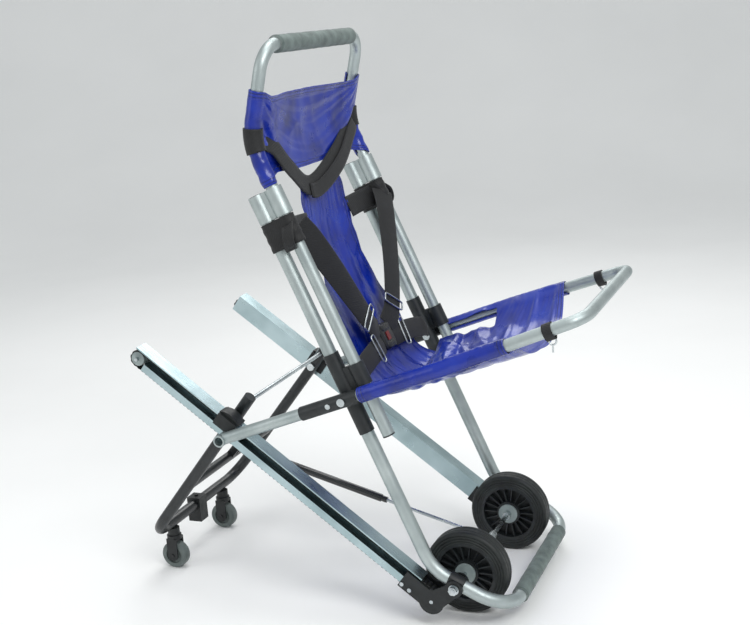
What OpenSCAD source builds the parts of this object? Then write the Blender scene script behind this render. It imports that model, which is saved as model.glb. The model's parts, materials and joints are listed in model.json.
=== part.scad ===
// Folding stair chair: push handle, sling seat, rear tracks and a caster stand.
// X runs forward, Y to the left, Z up. The floor is Z = 0 and the mid-plane is Y = 0.

/* [Back frame] */
// Distance of each back tube from the mid-plane
frame_y = 242; // [236:1:290]
// Lean of the back frame from upright, in degrees
back_tilt = 22.74; // [20:0.5:25]
// Seat pivot, forward of the wheel axle (negative is behind it)
pivot_x = -204; // [-215:1:-190]
// Seat pivot, height above the floor
pivot_z = 487; // [470:1:500]
// Length of the back tube above the seat pivot
back_len = 441; // [400:5:529]
// Outer diameter of the back tube
main_d = 28; // [26:0.5:30]
// Wall of every tube
wall = 2; // [1.5:0.1:2.5]
// Bend radius at the foot of the back tube
main_bend = 100; // [90:1:110]
// Wall of the black sleeve on the back tube
sleeve_wall = 2.5; // [2:0.5:3]

/* [Foot loop] */
// Slope of the foot loop below level, in degrees
foot_slope = 25; // [22:1:27]
// Reach of the foot loop forward of the axle
foot_reach = 111; // [100:1:125]
// Bend radius of the foot loop's corners
foot_bend = 74; // [60:1:80]
// Wall of the foam on the foot loop
foot_foam = 3.5; // [2:0.5:5]

/* [Handle] */
// Distance of the handle tube in front of the back tube
handle_gap = 42; // [41:0.5:48]
// Outer diameter of the handle tube
handle_d = 26; // [24:0.5:27]
// Length of the handle tube below the seat pivot
handle_low = 102; // [85:1:110]
// Height of the handle tube's knee above the seat pivot, along the tube
handle_knee = 547; // [545:1:660]
// Forward lean of the handle above its knee, in degrees
handle_lean = 14.4; // [10:0.5:18]
// Length of the handle above its knee
handle_top = 190; // [180:1:215]
// Bend radius of the handle's top corners
handle_bend = 52; // [45:1:60]
// Wall of the foam grip
grip_wall = 5.5; // [4:0.5:7]
// Clearance around the sliding handle tube
slide_gap = 0.3; // [0.3:0.05:0.5]
// Travel of the handle upward
handle_travel = 90; // [60:5:100]

/* [Seat] */
// Rise of the seat towards the front, in degrees
seat_rise = 19.25; // [17:0.25:20]
// Length of the seat frame forward of its pivot
seat_len = 512.6; // [470:1:530]
// Length of the seat frame behind its pivot
seat_rear = 306.1; // [295:1:315]
// Outer diameter of the seat tube
seat_d = 25; // [22:0.5:26]
// Distance of the seat's front corner from the mid-plane
seat_front_y = 218; // [205:1:240]
// Forward distance at which the seat tubes start to close in
taper_start = 215; // [200:1:230]
// Bend radius of the seat's front corners
seat_bend = 45; // [40:1:55]
// Sag of the seat cloth at the middle
seat_sag = 62; // [40:1:75]
// Length of the seat cloth forward of the pivot
seat_cloth = 352; // [330:1:365]
// Thickness of the coated cloth, hems included
cloth_t = 2.4; // [2:0.2:3]

/* [Wheels] */
// Diameter of the main wheels
wheel_d = 180; // [160:1:190]
// Width of a main wheel
wheel_w = 42; // [36:1:44]
// Distance of a main wheel from the mid-plane
wheel_y = 162; // [155:1:163]
// Diameter of the wheel axle
axle_d = 10; // [8:1:12]
// Diameter of a caster wheel
caster_d = 64; // [55:1:66]
// Width of a caster wheel
caster_w = 24; // [20:1:26]
// Distance of a caster from the mid-plane
caster_y = 119; // [100:1:125]

/* [Tracks] */
// Direction of the tracks, in degrees from forward, through up
track_angle = 142.65; // [141:0.25:144]
// Length of a track rail, measured from the wheel axle
track_len = 844; // [760:1:1013]
// Width of a track rail
rail_w = 36; // [32:1:38]
// Height of a track rail
rail_h = 41; // [40:0.5:44]
// Depth of the rail's top face below the wheel axle
rail_drop = 32; // [30:0.5:34]
// Thickness of the rubber track belt
belt_t = 3; // [2.5:0.25:3.5]
// Width of the rubber track belt
belt_w = 24; // [20:1:26]

/* [Stand] */
// Lean of the stand's legs from upright, in degrees
stand_lean = 39.58; // [38:0.5:41]
// Outer diameter of the stand's tube
stand_d = 26; // [24:0.5:27]
// Length of the legs above the track sliders
stand_stub = 60; // [45:1:65]
// Diameter of the gas spring's cylinder
gas_d = 18; // [16:1:20]
// Diameter of the gas spring's rod
gas_rod_d = 8; // [6:1:10]

/* [Hidden] */
$fn = 48;

SILVER = "#AEB8B8";
BLACK = "#1B1D1F";
BLUE = "#16329E";
GREY = "#6C7674";
STEEL = "#C9CED0";

axle_z = wheel_d / 2;
pin_d = 10;
turn_gap = 0.06;
main_r = main_d / 2;
handle_r = handle_d / 2;
seat_r = seat_d / 2;
stand_r = stand_d / 2;
axle_r = axle_d / 2;

// Sideways places, from the back tube outward
sleeve_r = main_r + sleeve_wall;
seat_sleeve_r = seat_r + 2.3;
side_gap = 1.2;
seat_y = frame_y + sleeve_r + side_gap + seat_sleeve_r;
rail_out = frame_y + main_r + 0.4;
rail_in = rail_out - rail_w;
plate_t = 4;
cheek_t = 3;
cheek_gap = 0.6;
stand_y = rail_in - cheek_gap - cheek_t - 1.4 - stand_r;

// Places in the X-Z plane
function back_at(n, t) = [pivot_x + n * cos(back_tilt) - t * sin(back_tilt),
                          pivot_z + n * sin(back_tilt) + t * cos(back_tilt)];
function seat_at(t, n) = [pivot_x + t * cos(seat_rise) - n * sin(seat_rise),
                          pivot_z + t * sin(seat_rise) + n * cos(seat_rise)];
function track_at(s, w) = [s * cos(track_angle) - w * sin(track_angle),
                           axle_z + s * sin(track_angle) + w * cos(track_angle)];
function on_y(p, y) = [p[0], y, p[1]];
function unit(a) = a / norm(a);

// The foot line passes a little above the axle; the back tube meets it at the foot corner
foot_over = 7;
foot_dir = [cos(foot_slope), -sin(foot_slope)];
foot_mid = [0, axle_z + foot_over];
corner_t = ((pivot_z - foot_mid[1]) + pivot_x * tan(foot_slope))
           / (cos(back_tilt) - sin(back_tilt) * tan(foot_slope));
foot_corner = back_at(0, -corner_t);
foot_front = foot_mid + foot_dir * foot_reach / cos(foot_slope);
block_half = 8;

// Rail section, measured down from the axle's level
flange_t = 3;
slot_h = 19;
slot_top = rail_drop + flange_t;
slot_low = slot_top + slot_h;
rail_low = rail_drop + rail_h;
belt_gap = belt_t + 0.4;
belt_r = (rail_low + belt_gap - (slot_top + 3.5)) / 2;
belt_mid = rail_low + belt_gap - belt_r;
pulley_r = belt_r - belt_t;
pulley_low_s = 20;
pulley_top_s = track_len - 13;
rail_start = 62;
rail_y = rail_out - rail_w / 2;

// Seat rear end, slider and stand
rear_end = seat_at(-seat_rear, 0);
rear_s = rear_end[0] * cos(track_angle) + (rear_end[1] - axle_z) * sin(track_angle);
slider_s = rear_s + 17;
slider_w = rail_drop + 14;
slider_at = track_at(slider_s, slider_w);
socket_r = 13;
socket_bore = 9.5;
socket_out = seat_y + 15.5;
stem_h = 48;
bar_z = caster_d + stem_h;
leg_dir = [-sin(stand_lean), -cos(stand_lean)];
leg_len = (slider_at[1] - bar_z) / cos(stand_lean);
stand_low = slider_at + leg_dir * leg_len;
stand_high = slider_at - leg_dir * stand_stub;
cross_at = slider_at + leg_dir * 218;
gas_pin = cross_at + [23, 25];
gas_dir = unit([0 - gas_pin[0], axle_z - gas_pin[1]]);
gas_len = norm([gas_pin[0], gas_pin[1] - axle_z]);
tie_at = slider_at - leg_dir * 45;
caster_x = stand_low[0] + 2;

// Handle knee and top corner
knee = back_at(handle_gap, handle_knee);
handle_end = back_at(handle_gap, -handle_low);
top_corner = knee + [sin(handle_lean), cos(handle_lean)] * handle_top;
collar_t = back_len - 54;
collar_h = 58;
knee_bend = 150;
cloth_y = frame_y - handle_r - 5;

// Middle of the whole length, which becomes X = 0
front_end = seat_at(seat_len, 0)[0] + seat_r;
back_end = caster_x - caster_d / 2;
mid_x = (front_end + back_end) / 2;

// Rigid placement from an origin, a direction for local X and one for local Z
module place(o, x, z) {
    y = cross(z, x);
    multmatrix([[x[0], y[0], z[0], o[0]],
                [x[1], y[1], z[1], o[1]],
                [x[2], y[2], z[2], o[2]],
                [0, 0, 0, 1]]) children();
}

module ring(r_out, r_in) {
    difference() {
        circle(r_out);
        if (r_in > 0) circle(r_in);
    }
}

// A straight round bar or pipe between two points
module pipe(a, b, r_out, r_in = 0) {
    z = unit(b - a);
    side = cross(z, [0, 1, 0]);
    x = norm(side) > 0.01 ? unit(side) : [1, 0, 0];
    place(a, x, z) linear_extrude(norm(b - a)) ring(r_out, r_in);
}

// One torus bend of radius r_bend at corner p, between directions u and v.
// Bending draws the tube down a little, so its section is a hair inside the straight runs'.
bend_step = 0.1;
lap = 0.4;
module bend(p, u, v, r_bend, r_out, r_in) {
    turn = acos(u * v);
    inward = unit(v - (u * v) * u);
    centre = p - u * r_bend * tan(turn / 2) + inward * r_bend;
    place(centre, -inward, cross(-inward, u))
        rotate_extrude(angle = turn) translate([r_bend, 0])
            ring(r_out - bend_step, r_in + bend_step);
}

// A tube along corner points, with a bend radius for each inner corner
module bent_tube(pts, bends, r_out, r_in) {
    last = len(pts) - 1;
    dirs = [for (i = [0:last - 1]) unit(pts[i + 1] - pts[i])];
    cut = [for (i = [0:last])
        i == 0 || i == last ? 0 : bends[i - 1] * tan(acos(dirs[i - 1] * dirs[i]) / 2)];
    union() {
        for (i = [0:last - 1])
            pipe(pts[i] + dirs[i] * (cut[i] - (i == 0 ? 0 : lap)),
                 pts[i + 1] - dirs[i] * (cut[i + 1] - (i == last - 1 ? 0 : lap)), r_out, r_in);
        for (i = [1:last - 1])
            bend(pts[i], dirs[i - 1], dirs[i], bends[i - 1], r_out, r_in);
    }
}

// Local frames: back (n forward, y, t up), seat (t forward, y, n up), track (s up the rail, y, w down)
module to_origin() { translate([-mid_x, 0, 0]) children(); }
module back_frame() { translate([pivot_x, 0, pivot_z]) rotate([0, -back_tilt, 0]) children(); }
module seat_frame() { translate([pivot_x, 0, pivot_z]) rotate([0, -seat_rise, 0]) children(); }
module track_frame() { translate([0, 0, axle_z]) rotate([0, -track_angle, 0]) children(); }
module foot_frame() { translate([0, 0, foot_mid[1]]) rotate([0, foot_slope, 0]) children(); }
module both_sides() {
    children();
    mirror([0, 1, 0]) children();
}
// A round bar across, centred on y, along Y
module across(r, y0, y1) { translate([0, y0, 0]) rotate([-90, 0, 0]) cylinder(r = r, h = y1 - y0); }

// ---- Back frame ----
module main_tube(side) {
    color(SILVER) to_origin()
        difference() {
            bent_tube([on_y(back_at(0, back_len), side * frame_y),
                       on_y(foot_corner, side * frame_y),
                       on_y(foot_mid - foot_dir * block_half, side * frame_y)],
                      [main_bend], main_r, main_r - wall);
            translate([pivot_x, side * frame_y, pivot_z]) across(pin_d / 2, -main_d, main_d);
        }
}
module main_tube_left() { main_tube(1); }
module main_tube_right() { main_tube(-1); }

module foot_loop() {
    start = foot_mid + foot_dir * block_half;
    color(SILVER) to_origin()
        bent_tube([on_y(start, -frame_y), on_y(foot_front, -frame_y),
                   on_y(foot_front, frame_y), on_y(start, frame_y)],
                  [foot_bend, foot_bend], main_r, main_r - wall);
}

module foot_grip() {
    half = frame_y - foot_bend;
    color(GREY) to_origin()
        pipe(on_y(foot_front, -half), on_y(foot_front, half), main_r + foot_foam, main_r);
}

// Black sleeve on each back tube, past the seat pivot
sleeve_up = 94;
sleeve_down = 82;
module main_sleeves() {
    color(BLACK) to_origin() both_sides() back_frame() difference() {
        translate([0, frame_y, -sleeve_down]) cylinder(r = sleeve_r, h = sleeve_up + sleeve_down);
        translate([0, frame_y, -sleeve_down - 1])
            cylinder(r = main_r, h = sleeve_up + sleeve_down + 2);
        translate([0, frame_y, 0]) across(pin_d / 2, -sleeve_r - 1, sleeve_r + 1);
    }
}

// A clamp that holds the back tube and lets the handle tube slide through
module twin_clamp(t0, h, r_main, r_slide) {
    difference() {
        union() {
            translate([0, frame_y, t0]) cylinder(r = r_main, h = h);
            translate([handle_gap, frame_y, t0]) cylinder(r = r_slide, h = h);
            translate([0, frame_y - 9, t0]) cube([handle_gap, 18, h]);
        }
        translate([0, frame_y, t0 - 1]) cylinder(r = main_r, h = h + 2);
        translate([handle_gap, frame_y, t0 - 1]) cylinder(r = handle_r + slide_gap, h = h + 2);
    }
}
module guide_collars() {
    color(SILVER) to_origin() both_sides() back_frame()
        twin_clamp(collar_t, collar_h, main_r + 3, handle_r + 5.5);
}
guide_t = 10;
guide_h = 48;
module handle_guides() {
    color(BLACK) to_origin() both_sides() back_frame() difference() {
        union() {
            translate([handle_gap, frame_y, guide_t]) cylinder(r = handle_r + 4, h = guide_h);
            translate([sleeve_r - 4, frame_y - 8, guide_t])
                cube([handle_gap - sleeve_r + 4, 16, guide_h]);
        }
        translate([0, frame_y, guide_t - 1]) cylinder(r = sleeve_r, h = guide_h + 2);
        translate([handle_gap, frame_y, guide_t - 1])
            cylinder(r = handle_r + slide_gap, h = guide_h + 2);
    }
}

// Cast block that joins back tube and foot loop and holds the axle
block_r = main_r + 4;
block_len = 34;
boss_r = axle_r + 11;
module axle_blocks() {
    depth = block_len / 2 + boss_r - block_half;
    color(BLACK) to_origin() both_sides() difference() {
        union() {
            foot_frame() translate([-block_len / 2, frame_y, 0])
                rotate([0, 90, 0]) cylinder(r = block_r, h = block_len);
            translate([0, 0, axle_z]) across(boss_r, frame_y - block_r, rail_out);
        }
        foot_frame() for (x = [-block_half - depth, block_half])
            translate([x, frame_y, 0]) rotate([0, 90, 0]) cylinder(r = main_r, h = depth);
        translate([0, 0, axle_z]) across(axle_r, frame_y - 40, frame_y + 40);
        // Flat outer face, against the track plate
        translate([-block_len, rail_out, axle_z - block_len])
            cube([2 * block_len, block_r, 2 * block_len]);
    }
}

// Collars beside the gas spring's eye and beside each wheel's bush
collar_w = 12;
axle_collar_r = axle_r + 4;
gas_eye_y = 8;
wheel_in = wheel_y - wheel_w / 2 - 4;
module wheel_axle() {
    reach = rail_out + plate_t + 12;
    color(STEEL) to_origin() translate([0, 0, axle_z]) {
        across(axle_r, -reach, reach);
        both_sides() across(axle_collar_r, gas_eye_y, gas_eye_y + collar_w);
        both_sides() across(axle_collar_r, wheel_in - collar_w, wheel_in);
    }
}
nut_r = 11;
module axle_nuts() {
    color(STEEL) to_origin() translate([0, 0, axle_z]) both_sides() difference() {
        union() {
            across(nut_r, rail_out + plate_t + 1.2, rail_out + plate_t + 3);
            translate([0, rail_out + plate_t + 3, 0]) rotate([-90, 0, 0])
                cylinder(r = nut_r - 1.5, h = 8, $fn = 6);
        }
        across(axle_r, rail_out, rail_out + 40);
    }
}

module tube_caps() {
    color(BLACK) to_origin() both_sides() back_frame() translate([0, frame_y, back_len]) {
        cylinder(r = main_r, h = 5);
        translate([0, 0, -14]) cylinder(r = main_r - wall, h = 14);
    }
}

module pivot_pins() {
    color(STEEL) to_origin() both_sides() translate([pivot_x, 0, pivot_z]) {
        across(pin_d / 2, frame_y - sleeve_r - 3, seat_y + seat_sleeve_r + 3.5);
        across(pin_d / 2 + 3.5, seat_y + seat_sleeve_r + 0.5, seat_y + seat_sleeve_r + 3.5);
        across(pin_d / 2 + 3.5, frame_y - sleeve_r - 5, frame_y - sleeve_r - 1);
    }
}

// Webbing wrapped round each pair of tubes, where the shoulder belts start
belt_strap_w = 50;
anchor_h = belt_strap_w + 10;
anchor_t = collar_t - anchor_h - 2;
module anchor_straps() {
    color(BLACK) to_origin() both_sides() back_frame() translate([0, frame_y, anchor_t])
        linear_extrude(anchor_h) difference() {
            round_slot(main_r + 2.7);
            round_slot(main_r + 0.3);
        }
}
// Outline round the back tube and the handle tube together
module round_slot(r) {
    circle(r);
    translate([handle_gap, 0]) circle(r);
    translate([0, -r]) square([handle_gap, 2 * r]);
}

// Shoulder belt from the wrapped webbing down to the buckle, as a plain strip
belt_strap_t = 2.5;
module shoulder_belt(side) {
    knuckle = on_y(back_at(26, anchor_t - 40), side * 150);
    low = on_y(back_at(buckle_n + 3, buckle_t + buckle_half + 12), side * 22);
    color(BLACK) to_origin() {
        hull() {
            belt_end(8, side * (frame_y - main_r - 5), anchor_t + anchor_h / 2);
            translate(knuckle) rotate([0, -back_tilt, 0])
                cube([belt_strap_t, 4, belt_strap_w], center = true);
        }
        hull() {
            translate(knuckle) rotate([0, -back_tilt, 0])
                cube([belt_strap_t, 4, belt_strap_w], center = true);
            translate(low) rotate([0, -back_tilt, 0])
                cube([belt_strap_t, belt_strap_w * 0.7, 4], center = true);
        }
    }
}
module shoulder_belt_left() { shoulder_belt(1); }
module shoulder_belt_right() { shoulder_belt(-1); }

// A band of cloth that sags as a circular arc across the chair; local X is the sag direction
module sag_arc(half, sag, t) {
    r = (half * half + sag * sag) / (2 * sag);
    intersection() {
        translate([r - sag, 0]) ring(r, r - t);
        translate([-sag - 1, -half]) square([sag + 1 + t * 2, half * 2]);
    }
}
back_sag = 42;
back_low = 44;
back_high = back_len - 48;
back_face = 0;
module back_sling() {
    color(BLUE) to_origin() back_frame() translate([back_face, 0, back_low])
        linear_extrude(back_high - back_low) sag_arc(cloth_y, back_sag, cloth_t);
}

// Lap belt from tube to tube, with the buckle at its middle, against the foot of the back cloth
buckle_t = 60;
buckle_n = 8;
buckle_half = 29;
lap_end_t = 28;
module belt_end(n, y, t) {
    translate(on_y(back_at(n, t), y)) rotate([0, -back_tilt, 0])
        cube([belt_strap_t, 4, belt_strap_w], center = true);
}
module lap_belt() {
    color(BLACK) to_origin() both_sides() hull() {
        belt_end(buckle_n - 6, buckle_half + 2.5, buckle_t);
        belt_end(buckle_n - 6, frame_y - sleeve_r - 12, lap_end_t);
    }
}
// Local frame of the buckle: X down the back, Y to the left, Z forward
module buckle_frame() {
    back_frame() translate([buckle_n, 0, buckle_t]) rotate([0, 90, 0]) children();
}
module buckle_body() {
    color(BLACK) to_origin() buckle_frame() difference() {
        translate([-buckle_half, -buckle_half, -6])
            cube([2 * buckle_half, 2 * buckle_half, 18]);
        translate([-17, -buckle_half - 1, -1.5]) cube([34, 42, 5]);
        translate([-10, -12, 4.5]) cube([20, 16, 9]);
    }
}
module buckle_tongue() {
    color(STEEL) to_origin() buckle_frame() difference() {
        union() {
            translate([-16, -buckle_half - 1, -0.5]) cube([32, 40, 3]);
            translate([-26, -52, -0.5]) cube([52, 22.5, 3]);
        }
        translate([-20, -46, -2]) cube([40, 7, 6]);
    }
}
module buckle_button() {
    color("#B02020") to_origin() buckle_frame() translate([-9.5, -11.5, 8.2]) cube([19, 15, 6]);
}

// ---- Push handle ----
module handle_tube() {
    color(SILVER) to_origin()
        bent_tube([on_y(handle_end, -frame_y), on_y(knee, -frame_y), on_y(top_corner, -frame_y),
                   on_y(top_corner, frame_y), on_y(knee, frame_y), on_y(handle_end, frame_y)],
                  [knee_bend, handle_bend, handle_bend, knee_bend], handle_r, handle_r - wall);
}
module handle_grip() {
    half = frame_y - handle_bend;
    color(GREY) to_origin()
        pipe(on_y(top_corner, -half), on_y(top_corner, half), handle_r + grip_wall, handle_r);
}
module handle_plugs() {
    color(BLACK) to_origin() both_sides() back_frame()
        translate([handle_gap, frame_y, -handle_low - 3]) {
            cylinder(r = handle_r, h = 3);
            cylinder(r = handle_r - wall, h = 16);
        }
}

// Headrest cloth: a side sleeve on each handle tube and a panel between them
rest_low = -74;
rest_high = 96;
rest_y = frame_y - handle_r - 1;
module headrest_sling() {
    sleeve_out = handle_r + cloth_t;
    lean_up = on_y(knee + [sin(handle_lean), cos(handle_lean)] * rest_high, frame_y);
    down = on_y(back_at(handle_gap, handle_knee + rest_low), frame_y);
    color(BLUE) to_origin() {
        both_sides() bent_tube([down, on_y(knee, frame_y), lean_up], [knee_bend], sleeve_out, handle_r);
        translate(on_y(back_at(handle_gap, handle_knee), 0)) rotate([0, -4, 0])
            translate([-4, 0, rest_low]) linear_extrude(rest_high - rest_low)
                sag_arc(rest_y, 14, cloth_t);
    }
}
strap_half = 25;
strap_wall = 2.4;
strap_gap = 0.3;
module head_strap() {
    r_in = handle_r + cloth_t + strap_gap;
    run = knee_bend;
    up = on_y(knee + [sin(handle_lean), cos(handle_lean)] * run, frame_y);
    down = on_y(back_at(handle_gap, handle_knee - run), frame_y);
    // Only the outer half, so that the panel can leave the tube
    color(BLACK) to_origin() both_sides() intersection() {
        bent_tube([down, on_y(knee, frame_y), up], [knee_bend], r_in + strap_wall, r_in);
        translate([knee[0] - run / 2, frame_y, knee[1] - strap_half])
            cube([run, 2 * handle_d, 2 * strap_half]);
    }
}

// ---- Seat ----
module seat_tube() {
    front = seat_at(seat_len, 0);
    shoulder = seat_at(taper_start, 0);
    color(SILVER) to_origin() difference() {
        bent_tube([on_y(rear_end, -seat_y), on_y(shoulder, -seat_y), on_y(front, -seat_front_y),
                   on_y(front, seat_front_y), on_y(shoulder, seat_y), on_y(rear_end, seat_y)],
                  [200, seat_bend, seat_bend, 200], seat_r, seat_r - wall);
        translate([pivot_x, 0, pivot_z]) both_sides()
            across(pin_d / 2 + turn_gap, seat_y - 30, seat_y + 30);
        for (s = [-1, 1]) translate(on_y(rear_end, s * seat_y)) rotate([90, 0, 0])
            cylinder(r = socket_r, h = 60, center = true);
    }
}
// Black sleeve on each seat tube, over the pivot
seat_sleeve_back = 102;
seat_sleeve_front = 34;
module seat_sleeves() {
    color(BLACK) to_origin() both_sides() seat_frame() difference() {
        translate([-seat_sleeve_back, seat_y, 0]) rotate([0, 90, 0])
            cylinder(r = seat_sleeve_r, h = seat_sleeve_back + seat_sleeve_front);
        translate([-seat_sleeve_back - 1, seat_y, 0]) rotate([0, 90, 0])
            cylinder(r = seat_r, h = seat_sleeve_back + seat_sleeve_front + 2);
        across(pin_d / 2 + turn_gap, seat_y - 30, seat_y + 30);
    }
}
// Rivets through the sleeves and a hook at each front corner
hook_t = 440;
module seat_hardware() {
    color(STEEL) to_origin() both_sides() {
        seat_frame() translate([-32, seat_y, 0]) difference() {
            across(5.5, 0, seat_sleeve_r + 1.6);
            rotate([0, 90, 0]) cylinder(r = seat_sleeve_r, h = 20, center = true);
        }
        translate(on_y(seat_at(hook_t, -seat_r - 9), tube_y(hook_t))) {
            rotate([90, 0, 0]) rotate_extrude() translate([7, 0]) circle(2);
            translate([-1.5, -1.5, -22]) cube([3, 3, 14]);
        }
    }
}
module seat_rear_sockets() {
    color(SILVER) to_origin() for (s = [-1, 1]) translate(on_y(rear_end, s * seat_y))
        rotate([-90 * s, 0, 0]) translate([0, 0, -(seat_y - rail_out - cheek_gap - cheek_t - 1)])
            linear_extrude(socket_out - rail_out - cheek_gap - cheek_t - 1)
                ring(socket_r, socket_bore);
}

// Distance of the seat tube from the mid-plane at a length along the seat
function tube_y(t) = t < taper_start ? seat_y
    : seat_y - (t - taper_start) * (seat_y - seat_front_y) / (seat_len - taper_start);
function cloth_edge(t) = tube_y(t) - seat_r;
notch_end = 172;
seat_cloth_r = seat_r + 2;
module seat_sling() {
    front_half = cloth_edge(seat_cloth);
    color(BLUE) to_origin() {
        both_sides() seat_frame() {
            difference() {
                translate([38, seat_y, 0]) rotate([0, 90, 0])
                    cylinder(r = seat_cloth_r, h = taper_start - 58);
                translate([37, seat_y, 0]) rotate([0, 90, 0]) cylinder(r = seat_r, h = taper_start);
            }
            pipe([taper_start + 20, tube_y(taper_start + 20), 0],
                 [seat_cloth, tube_y(seat_cloth), 0], seat_cloth_r, seat_r);
        }
        seat_frame() {
            translate([48, 0, -3]) rotate([90, 0, 90]) rotate([0, 0, 90])
                linear_extrude(notch_end - 47) sag_arc(cloth_y - 2, seat_sag, cloth_t);
            translate([notch_end, 0, -3]) rotate([90, 0, 90]) rotate([0, 0, 90])
                linear_extrude(seat_cloth - notch_end) sag_arc(front_half - 0.5, seat_sag, cloth_t);
        }
    }
}

// ---- Main wheels ----
tyre_in = wheel_d / 2 - 24;
bush_r = 22;
module tyre(side) {
    h = wheel_w / 2;
    r = wheel_d / 2;
    color(BLACK) to_origin() translate([0, side * wheel_y, axle_z]) rotate([90, 0, 0])
        rotate_extrude() difference() {
            union() {
                translate([tyre_in, -h]) square([r - tyre_in - 8, wheel_w]);
                translate([tyre_in, -h + 8]) square([r - tyre_in, wheel_w - 16]);
                for (s = [-1, 1]) translate([r - 8, s * (h - 8)]) circle(8);
            }
            for (s = [-1, 1], q = [0, 1])
                translate([tyre_in + 4 + q * 8, s * h]) circle(1.4);
        }
}
module tyre_left() { tyre(1); }
module tyre_right() { tyre(-1); }
rib_count = 18;
module wheel(side) {
    rim_in = tyre_in - 7;
    h = wheel_w / 2 - 1;
    color(BLACK) to_origin() translate([0, side * wheel_y, axle_z]) rotate([90, 0, 0]) difference() {
        union() {
            rotate_extrude() translate([rim_in, -h]) square([tyre_in - rim_in, h * 2]);
            rotate_extrude() translate([bush_r, -3]) square([rim_in - bush_r + 1, 6]);
            for (i = [0:rib_count - 1]) rotate(i * 360 / rib_count)
                translate([bush_r - 1, -1.2, -h + 5]) cube([rim_in - bush_r + 2, 2.4, 2 * h - 10]);
            translate([0, 0, -h]) cylinder(r = bush_r + 5, h = 2 * h);
        }
        translate([0, 0, -h - 1]) cylinder(r = bush_r, h = 2 * h + 2);
    }
}
module wheel_left() { wheel(1); }
module wheel_right() { wheel(-1); }
module wheel_bush(side) {
    h = wheel_w / 2 + 3;
    color(SILVER) to_origin() translate([0, side * wheel_y, axle_z]) rotate([90, 0, 0])
        translate([0, 0, -h]) linear_extrude(2 * h) ring(bush_r, axle_r + turn_gap);
}
module wheel_bush_left() { wheel_bush(1); }
module wheel_bush_right() { wheel_bush(-1); }

// ---- Tracks ----
module rail_section() {
    y0 = rail_in - rail_y;
    y1 = rail_out - rail_y;
    difference() {
        translate([y0, rail_drop]) square([rail_w, rail_h]);
        translate([y0 + 4, slot_top]) square([rail_w, slot_h]);
        translate([y0 + 2, slot_low + 2]) square([rail_w - 4, rail_low - slot_low - 4]);
        translate([y1 - 6, rail_low - 2.5]) square([7, 4]);
    }
}
module rail(side) {
    color(SILVER) to_origin() both_if(side) track_frame() difference() {
        translate([rail_start, rail_y, 0]) rotate([90, 0, 90]) linear_extrude(track_len - rail_start)
            rail_section();
        // Room for the belt to turn at both ends
        translate([track_len - 34, rail_in + 4, slot_top]) cube([40, rail_w, rail_h]);
        translate([rail_start - 1, rail_in + 4, slot_top]) cube([10, rail_w, rail_h]);
    }
}
// Mirrors a right-hand or left-hand copy across the mid-plane
module both_if(side) {
    if (side > 0) children();
    else mirror([0, 1, 0]) children();
}
module rail_left() { rail(1); }
module rail_right() { rail(-1); }

belt_y = rail_in + 5 + belt_w / 2 + 1;
module track_belt(side) {
    color(BLACK) to_origin() both_if(side) track_frame() translate([0, belt_y + belt_w / 2, 0])
        rotate([90, 0, 0]) linear_extrude(belt_w) difference() {
            belt_loop(belt_r);
            belt_loop(belt_r - belt_t);
        }
}
module belt_loop(r) {
    translate([pulley_low_s, belt_mid]) circle(r);
    translate([pulley_top_s, belt_mid]) circle(r);
    translate([pulley_low_s, belt_mid - r]) square([pulley_top_s - pulley_low_s, 2 * r]);
}
module track_belt_left() { track_belt(1); }
module track_belt_right() { track_belt(-1); }

// Black plates that carry the lower pulley and reach up to the axle
plate_s = 96;
plate_r = 27;
module plate_outline() {
    difference() {
        union() {
            translate([pulley_low_s, belt_mid]) circle(plate_r);
            translate([pulley_low_s, belt_mid - 20]) square([plate_s - pulley_low_s, 40]);
            polygon([[-16, 2], [16, 2], [pulley_low_s + 24, belt_mid], [pulley_low_s - 24, belt_mid]]);
            circle(18);
        }
        circle(axle_r + turn_gap);
        translate([pulley_low_s, belt_mid]) circle(4);
    }
}
module end_plate(y0) {
    track_frame() translate([0, y0 + plate_t, 0]) rotate([90, 0, 0])
        linear_extrude(plate_t) plate_outline();
}
module end_plates() {
    color(BLACK) to_origin() both_sides() {
        end_plate(rail_out + 0.4);
        end_plate(rail_in - plate_t);
    }
}
bolt_s = [rail_start + 8, plate_s - 6];
module track_bolts() {
    color(STEEL) to_origin() both_sides() track_frame() {
        for (s = bolt_s) translate([s, 0, rail_low - 5])
            across(4.5, rail_out + plate_t + 0.4, rail_out + plate_t + 3.2);
        translate([pulley_low_s, 0, belt_mid])
            across(4, rail_in - plate_t - 1, rail_out + plate_t + 1);
        translate([pulley_top_s, 0, belt_mid]) across(4, rail_in + 4, rail_out + 1.5);
    }
}
module pulley(side, s) {
    color(GREY) to_origin() both_if(side) track_frame() translate([s, belt_y, belt_mid]) difference() {
        across(pulley_r - 0.35, -belt_w / 2 + 1, belt_w / 2 - 1);
        across(4 + turn_gap, -belt_w, belt_w);
    }
}
module pulley_upper_left() { pulley(1, pulley_top_s); }
module pulley_upper_right() { pulley(-1, pulley_top_s); }
module pulley_lower_left() { pulley(1, pulley_low_s); }
module pulley_lower_right() { pulley(-1, pulley_low_s); }

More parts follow.
